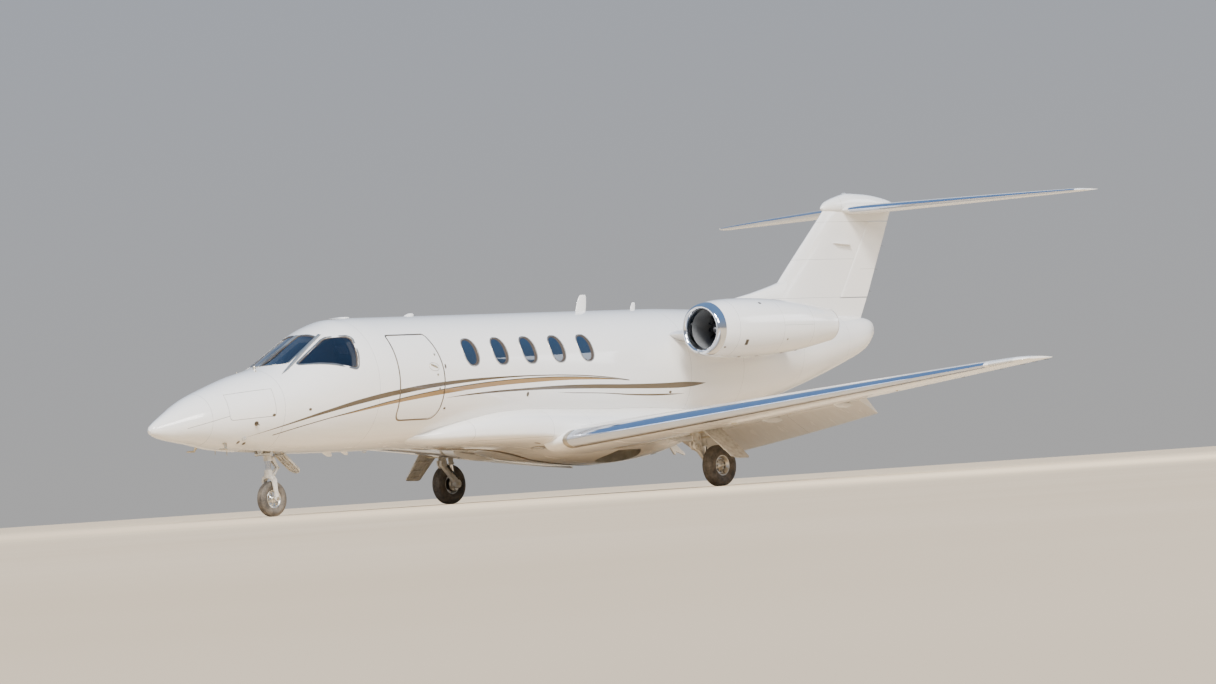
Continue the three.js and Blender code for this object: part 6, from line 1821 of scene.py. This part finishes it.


# Entry door edge: a thin dark metal strip finishes the frame, its dark tone partly painted shadow of the
# door's gap, and the latch handle lies flush in a cup near the rear edge, between two round lock covers.
def door_outline(grow):
    """The door's outline on the skin, evenly spaced."""
    back = DOOR["back"]
    corners = [(DOOR["front"] - grow, DOOR["high"] + grow), (back + grow, DOOR["high"] + grow),
               (back + grow, DOOR["low"] - grow), (DOOR["front"] - grow, DOOR["low"] - grow)]
    outline = rounded(corners, (0.03, 0.04, 0.15, 0.1), 10)
    found = []
    for (s0, z0), (s1, z1) in zip(outline, outline[1:] + outline[:1]):
        steps = max(1, round(hypot(s1 - s0, z1 - z0) / 0.03))
        found += [(s0 + (s1 - s0) * k / steps, z0 + (z1 - z0) * k / steps) for k in range(steps)]
    points = []
    for s, z in found:
        share = min(1.0, max(0.0, (s - back + 0.3) / 0.3))
        lean = DOOR["bevel"] * (0.82 - hull_side(s, z, 1).y)
        points.append(hull_side(s - lean * share, z, 1))
    return points


trim = [(-0.003, -0.006), (-0.003, 0.0012), (0.0, 0.0022), (0.01, 0.0018), (0.0135, 0.0002), (0.0135, -0.004)]
door_strip_gap_shade_metal = bright_metal("Door frame strip with painted gap shadow", (0.24, 0.185, 0.125, 1), 0.3, 0.5)
piece("door_strip_with_gap_shadow", swept(on_hull(door_outline(0.0075)), trim), door_strip_gap_shade_metal)
handle = [rod([hull_side(s, z, 1, out) for out in (-0.004, 0.0015, 0.004)], [0.016, 0.016, 0.016 * 0.7], 20)
          for s, z in ((4.118, 0.3), (4.105, 0.052))]
HANDLE_S, HANDLE_Z = 4.06, 0.15
grip = [hull_side(HANDLE_S + a, HANDLE_Z + b, 1, 0.004)
        for a, b in ((-0.055, 0.03), (-0.02, 0.018), (0.02, 0.004), (0.055, -0.012))]
handle.append(rod(grip, [0.009, 0.011, 0.011, 0.008], 12))
piece("door_handle", merged(handle), plated, body="entry_door")
cup = [hull_side(HANDLE_S + 0.085 * cos(a), HANDLE_Z + 0.05 * sin(a) - 0.0085 * cos(a), 1) for a in turns(40)]
rim = [(-0.003, 0.0005), (-0.001, 0.002), (0.001, 0.002), (0.003, 0.0005), (0.0, -0.003)]
piece("handle_cup_rim", swept(on_hull(cup), rim), plated, body="entry_door")


# Small fittings let into the skin: static ports, drain vents, latches and lock covers.
# Rows: name, station, height, half length, half height, how far it stands out, body.
FITTINGS = [
    ("static_port_front", 1.535, -0.341, 0.024, 0.017, 0.003, "airframe"),
    ("static_port_rear", 2.050, -0.296, 0.022, 0.016, 0.003, "airframe"),
    ("latch_low_front", 1.157, -0.640, 0.017, 0.017, 0.003, "airframe"),
    ("latch_low_rear", 1.250, -0.655, 0.019, 0.015, 0.006, "airframe"),
    ("door_lock_high", 4.255, 0.150, 0.012, 0.030, 0.006, "airframe"),
    ("door_lock_mid", 4.129, -0.126, 0.013, 0.018, 0.004, "entry_door"),
    ("door_lock_low", 4.260, -0.364, 0.020, 0.013, 0.004, "airframe"),
    ("cabin_vent", 5.720, -0.241, 0.020, 0.030, 0.006, "airframe"),
    ("rear_vent", 8.420, -0.300, 0.026, 0.016, 0.004, "airframe"),
]
port_metal = bright_metal("Port metal", (0.2, 0.17, 0.13, 1), 0.3, 0.55)


def plug(on_skin, steps, sides):
    """A low plug on a skin; steps are shares of its size and heights, and on_skin finds a point from them."""
    return rolled([[on_skin(share * cos(a), share * sin(a), out) for a in turns(sides)]
                   for share, out in steps])


def sunk_middle(proud):
    """The steps of a plug with a sunk middle."""
    return [(1.0, -0.003), (1.0, proud * 0.5), (0.86, proud), (0.62, proud), (0.52, proud * 0.35),
            (0.02, proud * 0.3)]


for name, station, z, length, tall, proud, body in FITTINGS:
    for side, which in SIDES:
        if side > 0 or "door" not in name:
            oval = plug(lambda c, s, out: hull_side(station + length * c, z + tall * s, side, out),
                        sunk_middle(proud), 24)
            piece(f"{name}_{which}", oval, port_metal, body=body)


# Cowl fittings: latches along the lower joint, two drain ports and a small louvre on the outer face.
# Rows: station, degrees round from the outer side, half length, half width, how far it stands out.
COWL_FITTINGS = [
    (8.547, -45, 0.016, 0.013, 0.004), (9.717, -30, 0.016, 0.013, 0.004), (9.00, -78, 0.032, 0.010, 0.004),
    (9.35, -78, 0.032, 0.010, 0.004), (9.85, -78, 0.032, 0.010, 0.004), (10.15, -78, 0.032, 0.010, 0.004),
    (9.30, 52, 0.026, 0.020, 0.003),
]


def cowl_point(station, turn, out):
    """A point on the left cowl, out metres off its surface, turn radians round from the outer side."""
    (first, front), (second, back) = next(pair for pair in zip(COWL, COWL[1:]) if station <= pair[1][1])
    return engine_point(1, first + (second - first) * (station - front) / (back - front) + out, station, turn)


for side, name in SIDES:
    plugs = [plug(lambda c, s, out: cowl_point(station + length * c, radians(degrees) + wide / 0.37 * s, out),
                  sunk_middle(proud), 20) for station, degrees, length, wide, proud in COWL_FITTINGS]
    for station in (8.876, 8.89, 8.904, 8.918):
        rows = [(cowl_point(station, turn, 0.0), Vector((0, cos(turn), sin(turn))), Vector((-1, 0, 0)))
                for turn in [radians(degrees) for degrees in range(-38, -25, 2)]]
        plugs.append(swept(rows, [(-0.005, -0.003), (-0.005, 0.0005), (0.003, 0.0055), (0.005, 0.005),
                                  (0.003, -0.003)],
                           closed=False))
    piece(f"cowl_fittings_{name}", mirrored(plugs, side), port_metal)


def stub(foot, rows, sides, way=Vector((0, 0, 1))):
    """A round stub on a point; rows are (how far along its way, radius) pairs."""
    return rod([foot + way * tall for tall, radius in rows], [radius for tall, radius in rows], sides)


# A small round lamp on the lower nose and an ice detector lamp ahead of the windscreen
foot = [hull_side(1.205, -0.6, side) for side in (1, -1)]
lamps = [stub(spot, [(-0.006, 0.032), (0.006, 0.032), (0.014, 0.024), (0.018, 0.008)], 20, hull_normal(spot))
         for spot in foot]
piece("nose_lamps", merged(lamps), lamp_glass)
detector = [(-0.01, 0.02), (0.022, 0.018), (0.034, 0.014), (0.038, 0.004)]
piece("ice_detector", stub(hull_roof(1.735, 0.045), detector, 16), plated)
for side, name in SIDES:
    piece(f"rain_probe_{name}", stub(hull_roof(1.64, side * 0.17), [(-0.01, 0.01), (0.02, 0.007)], 10),
          plated)

# Pitot probes under the nose, angle-of-attack vanes beside it, and a temperature probe
for side, name in SIDES:
    base = hull_side(0.98, -0.64, side)
    out = hull_normal(base)
    knee = off(base + out * 0.075, 0.012, 0, -0.01)
    tip = off(knee, 0.115, 0, 0)
    mast = boxy([base - out * 0.008, base + out * 0.035, knee], [0.016, 0.013, 0.012],
                [0.058, 0.046, 0.024], (1, 0, 0))
    probe = rod([off(knee, -0.02, 0, 0), off(knee, 0.01, 0, 0), off(tip, -0.01, 0, 0), tip],
                [0.01, 0.011, 0.009, 0.006], 14)
    piece(f"pitot_probe_{name}", merged([mast, probe]), plated, sharp=40)
    base = hull_side(1.3, -0.43, side)
    out = hull_normal(base)
    vane = [disc(base - out * 0.004, out, 0.03, 0.007),
            boxy([base, base + out * 0.03, base + out * 0.068], [0.007, 0.006, 0.004],
                 [0.044, 0.036, 0.022], (1, 0, 0))]
    piece(f"angle_vane_{name}", merged(vane), port_metal, sharp=40)
prongs = []
for station, degrees, thick, tall in ((1.19, -84, 0.007, 0.055), (1.12, -100, 0.006, 0.045)):
    foot = hull_point(station, radians(degrees))
    prongs.append(rod([foot, off(foot, 0.004, 0, -tall)], [thick, 0.004], 10))
piece("temperature_probes", merged(prongs), plated)

# Aerials: painted blades on the roof and belly.
# Rows: name, station, chord, how tall, lean, thickness, up or down.
AERIALS = [
    ("tall_blade", 7.640, 0.190, 0.215, 0.060, 0.024, 1),
    ("rear_stub", 8.640, 0.090, 0.100, 0.025, 0.018, 1),
    ("low_dome", 4.480, 0.170, 0.045, 0.040, 0.060, 1),
    ("flat_aerial", 3.260, 0.330, 0.028, 0.090, 0.120, 1),
    ("belly_blade_front", 2.900, 0.150, 0.060, 0.050, 0.018, -1),
    ("belly_blade_rear", 3.200, 0.110, 0.050, 0.035, 0.016, -1),
]
aerial_paint = plain_paint("Aerial paint")
for name, station, chord, tall, lean, thick, up in AERIALS:
    top, bottom, half, waist = smooth_row(FUSELAGE, station)
    foot = (top if up > 0 else bottom) - up * 0.01
    rings = []
    for i in range(9):
        share = i / 8
        narrow = 1 - (0.35 if tall > 0.06 else 0.55) * share ** 2
        height = tall * share
        slim = thick / 2 * (1 - 0.3 * share)
        if i == 8:  # the crown
            narrow *= 0.82
            height = tall * 1.015
            slim *= 0.6
        z = foot + up * (height + 0.01 * (1 - share))
        rings.append([place(station + lean * share - chord / 2 * narrow * cos(a),
                            slim * sin(a) * (0.75 + 0.25 * cos(a)), z)
                      for a in turns(28)])
    piece(f"aerial_{name}", rolled(rings), aerial_paint, sharp=50)
beacon = place(3.55, 0, smooth_row(FUSELAGE, 3.55)[1])
piece("belly_beacon",
      stub(beacon, [(0.01, 0.03), (-0.008, 0.03), (-0.02, 0.026), (-0.028, 0.016), (-0.031, 0.004)], 24),
      lamp_glass)
half, tall, middle = smooth_row(BULLET, 13.1)
beacon = place(13.1, 0, middle + tall)
piece("fin_beacon", stub(beacon, [(-0.008, 0.03), (0.006, 0.028), (0.013, 0.017), (0.015, 0.004)], 20),
      lamp_glass)
tail_lamp = [(0.02, 0.017), (-0.004, 0.017), (-0.018, 0.011), (-0.024, 0.003)]
piece("tail_lamp", stub(place(14.245, 0, 2.131), tail_lamp, 16, Vector((1, 0, 0))), lamp_glass)

# Belly fairing fittings: a round inspection lamp each side, slots, drains and the fluid mast.
LAMP_S, LAMP_Y = 6.015, 0.63
for side, name in SIDES:
    def on_belly(c, s, out):
        return fairing_bottom(LAMP_S + c, side * LAMP_Y + s, out)

    lens = [(0.088, -0.004), (0.088, 0.004), (0.08, 0.006), (0.074, 0.002), (0.05, 0.004), (0.02, 0.0055),
            (0.002, 0.006)]
    piece(f"fairing_lamp_{name}", plug(on_belly, lens, 32), lamp_glass)
    ring = [[on_belly(radius * cos(a), radius * sin(a), out) for a in turns(40)]
            for radius, out in ((0.092, 0.001), (0.098, 0.006), (0.088, 0.008), (0.082, 0.003))]
    piece(f"fairing_lamp_rim_{name}", rolled([*ring, ring[0]], closed=False), frame_metal)
    slots = [plug(lambda c, s, out: fairing_bottom(station + length * c, side * y + wide * s, out),
                  [(1.0, -0.003), (1.0, 0.002), (0.8, 0.004), (0.7, 0.001), (0.02, 0.0005)], 20)
             for station, y, length,
             wide in ((5.82, 0.8, 0.06, 0.014), (8.24, 0.56, 0.05, 0.03), (4.336, 0.31, 0.016, 0.016))]
    piece(f"fairing_slots_{name}", merged(slots), port_metal)
mast = [(9.14, -0.86), (9.3, -1.07), (9.47, -1.09), (9.47, -1.12), (9.27, -1.11), (9.06, -0.86)]
bm = side_prism(rounded(mast, 0.012), -0.015, 0.015)
corners = [edge for edge in bm.edges if len(edge.link_faces) == 2 and edge.calc_face_angle() > 1.2]
bmesh.ops.bevel(bm, geom=corners, offset=0.005, segments=2, affect="EDGES", profile=0.5, material=-1)
piece("drain_mast", bm, aerial_paint, sharp=40)
rows = [(fairing_bottom(s, 0.0, 0.001), Vector((0, 0, -1)), Vector((0, 1, 0)))
        for s in spaced((4.4, 9.6, 0.2))]
piece("keel_strip", swept(rows, [(-0.03, -0.002), (-0.026, 0.004), (0.026, 0.004), (0.03, -0.002)],
                          closed=False), port_metal)

# Wing fittings: fuel caps on top, jack pads and drain plugs below, and a plate that closes the
# inboard end of each polished edge. Flap tracks hang behind in slim canoe fairings.
for side, name in SIDES:
    cap = stub(wing_point(4.9, 0.42, 1), [(-0.004, 0.055), (0.003, 0.055), (0.006, 0.048), (0.0065, 0.002)],
               32)
    piece(f"fuel_cap_{name}", in_mirror(cap, side), wheel_alloy)
    under = [stub(wing_point(y, share, -1),
                  [(0.004, size), (-0.003, size), (-0.008, 0.6 * size), (-0.009, 0.002)], 16)
             for y, share,
             size in ((2.7, 0.5, 0.018), (3.6, 0.5, 0.018), (1.7, 0.62, 0.022), (5.4, 0.45, 0.016))]
    under.append(stub(place(6.95, 3.1, -0.802), [(0.06, 0.035), (0.0, 0.035), (0.0, 0.014)], 24))
    piece(f"wing_drains_{name}", mirrored(under, side), plated)
    for n, y in enumerate((1.42, 2.95, 4.16)):
        nose, tail = wing_point(y, 0.6, -1), wing_point(y, 0.775, -1)
        canoe = [off(nose, 0, 0, 0.01), off(nose.lerp(tail, 0.3), 0, 0, -0.018),
                 off(nose.lerp(tail, 0.75), 0, 0, -0.034),
                 off(tail, -0.02, 0, -0.03), off(tail, -0.1, 0, -0.02)]
        canoe = boxy(canoe, [0.01, 0.04, 0.05, 0.044, 0.012], [0.01, 0.05, 0.066, 0.05, 0.012], (0, 0, 1))
        piece(f"flap_track_{name}_{n}", in_mirror(canoe, side), wing_paint, sharp=50)
    shares = (0.058, 0.045, 0.032, 0.02, 0.01, 0.004)
    round_nose = [(share, 1) for share in (*shares, 0.0)] + [(share, -1) for share in reversed(shares)]
    plate = [[off(wing_point(1.062 + lift, share, over), grow, 0, over * grow * 0.5)
              for share, over in round_nose]
             for lift, grow in ((-0.004, 0.0), (0.01, 0.006), (0.06, 0.004), (0.064, -0.002))]
    piece(f"edge_end_plate_{name}", in_mirror(rolled(plate), side), frame_metal)


# Studio: a plain pale floor, a pale surround and three large soft lamps.
# The camera stands at floor level, ahead of the port wing, and looks up along the nose.
floor_paint, tree, shader = material("Studio floor", Specular_IOR_Level=0.0)
cloud = noise(tree, object_point(tree), 0.35, 2.0)
finish(tree, shader, blended(tree, ramp(tree, cloud, 0.3, 0.7), (0.7, 0.55, 0.37, 1), (0.74, 0.59, 0.41, 1)),
       scaled(tree, cloud, 0.1, 0.85))
bm = bmesh.new()
bmesh.ops.create_circle(bm, cap_ends=True, segments=96, radius=300)
floor = piece("studio_floor", bm, floor_paint, sharp=None, body=None)

world = bpy.data.worlds.new("Studio surround")
bpy.context.scene.world = world
world.use_nodes = True
tree = world.node_tree
surround = tree.nodes["Background"]
up = add(tree, "SeparateXYZ", {0: add(tree, "TexCoord").outputs["Generated"]}).outputs["Z"]
rise = ramp(tree, up, -0.05, 0.6)
tree.links.new(blended(tree, rise, (0.52, 0.5, 0.47, 1), (0.26, 0.45, 0.8, 1)), surround.inputs["Color"])
surround.inputs["Strength"].default_value = 0.9

# Lamps: name, place, aim, width, height, power, colour
LAMPS = [
    ("key", (10, 26, 16), (0, 0, 1.5), 12, 8, 6000, (1.0, 0.98, 0.945)),
    ("fill", (26, -10, 8), (2, 0, 1.5), 12, 8, 900, (0.90, 0.94, 1.0)),
    ("back", (-20, 12, 9), (-4, 0, 2), 10, 6, 900, (0.92, 0.95, 1.0)),
]
for name, spot, aim, width, height, power, colour in LAMPS:
    lamp = bpy.data.lights.new(f"lamp_{name}", "AREA")
    lamp.shape = "RECTANGLE"
    lamp.size, lamp.size_y = width, height
    lamp.energy = power
    lamp.color = colour
    stand = bpy.data.objects.new(f"lamp_{name}", lamp)
    stand.location = spot
    stand.rotation_euler = (Vector(aim) - Vector(spot)).to_track_quat("-Z", "Y").to_euler()
    bpy.context.scene.collection.objects.link(stand)

# A very wide soft lamp far above lights the whole floor evenly
lamp = bpy.data.lights.new("lamp_overhead", "SUN")
lamp.energy = 5.6
lamp.angle = radians(16)
lamp.color = (1.0, 0.97, 0.925)
stand = bpy.data.objects.new("lamp_overhead", lamp)
stand.rotation_euler = (-Vector((12, 13, 18))).to_track_quat("-Z", "Y").to_euler()
bpy.context.scene.collection.objects.link(stand)

SENSOR = 36.0
FOCAL, PHOTO_WIDTH = 5190, 1216  # of the camera fitted to the photo, in its pixels
lens = bpy.data.cameras.new("camera")
lens.sensor_width = SENSOR
lens.lens = FOCAL / PHOTO_WIDTH * SENSOR
lens.clip_end = 400.0
camera = bpy.data.objects.new("camera", lens)
camera.location = (48.835, 45.507, 0.1)
plan, rise, roll = radians(-137.52), radians(1.583), radians(-3.867)
ahead = Vector((cos(plan) * cos(rise), sin(plan) * cos(rise), sin(rise)))
turn = ahead.to_track_quat("-Z", "Y").to_matrix() @ Matrix.Rotation(roll, 3, "Z")
camera.rotation_euler = turn.to_euler()
bpy.context.scene.collection.objects.link(camera)
bpy.context.scene.camera = camera
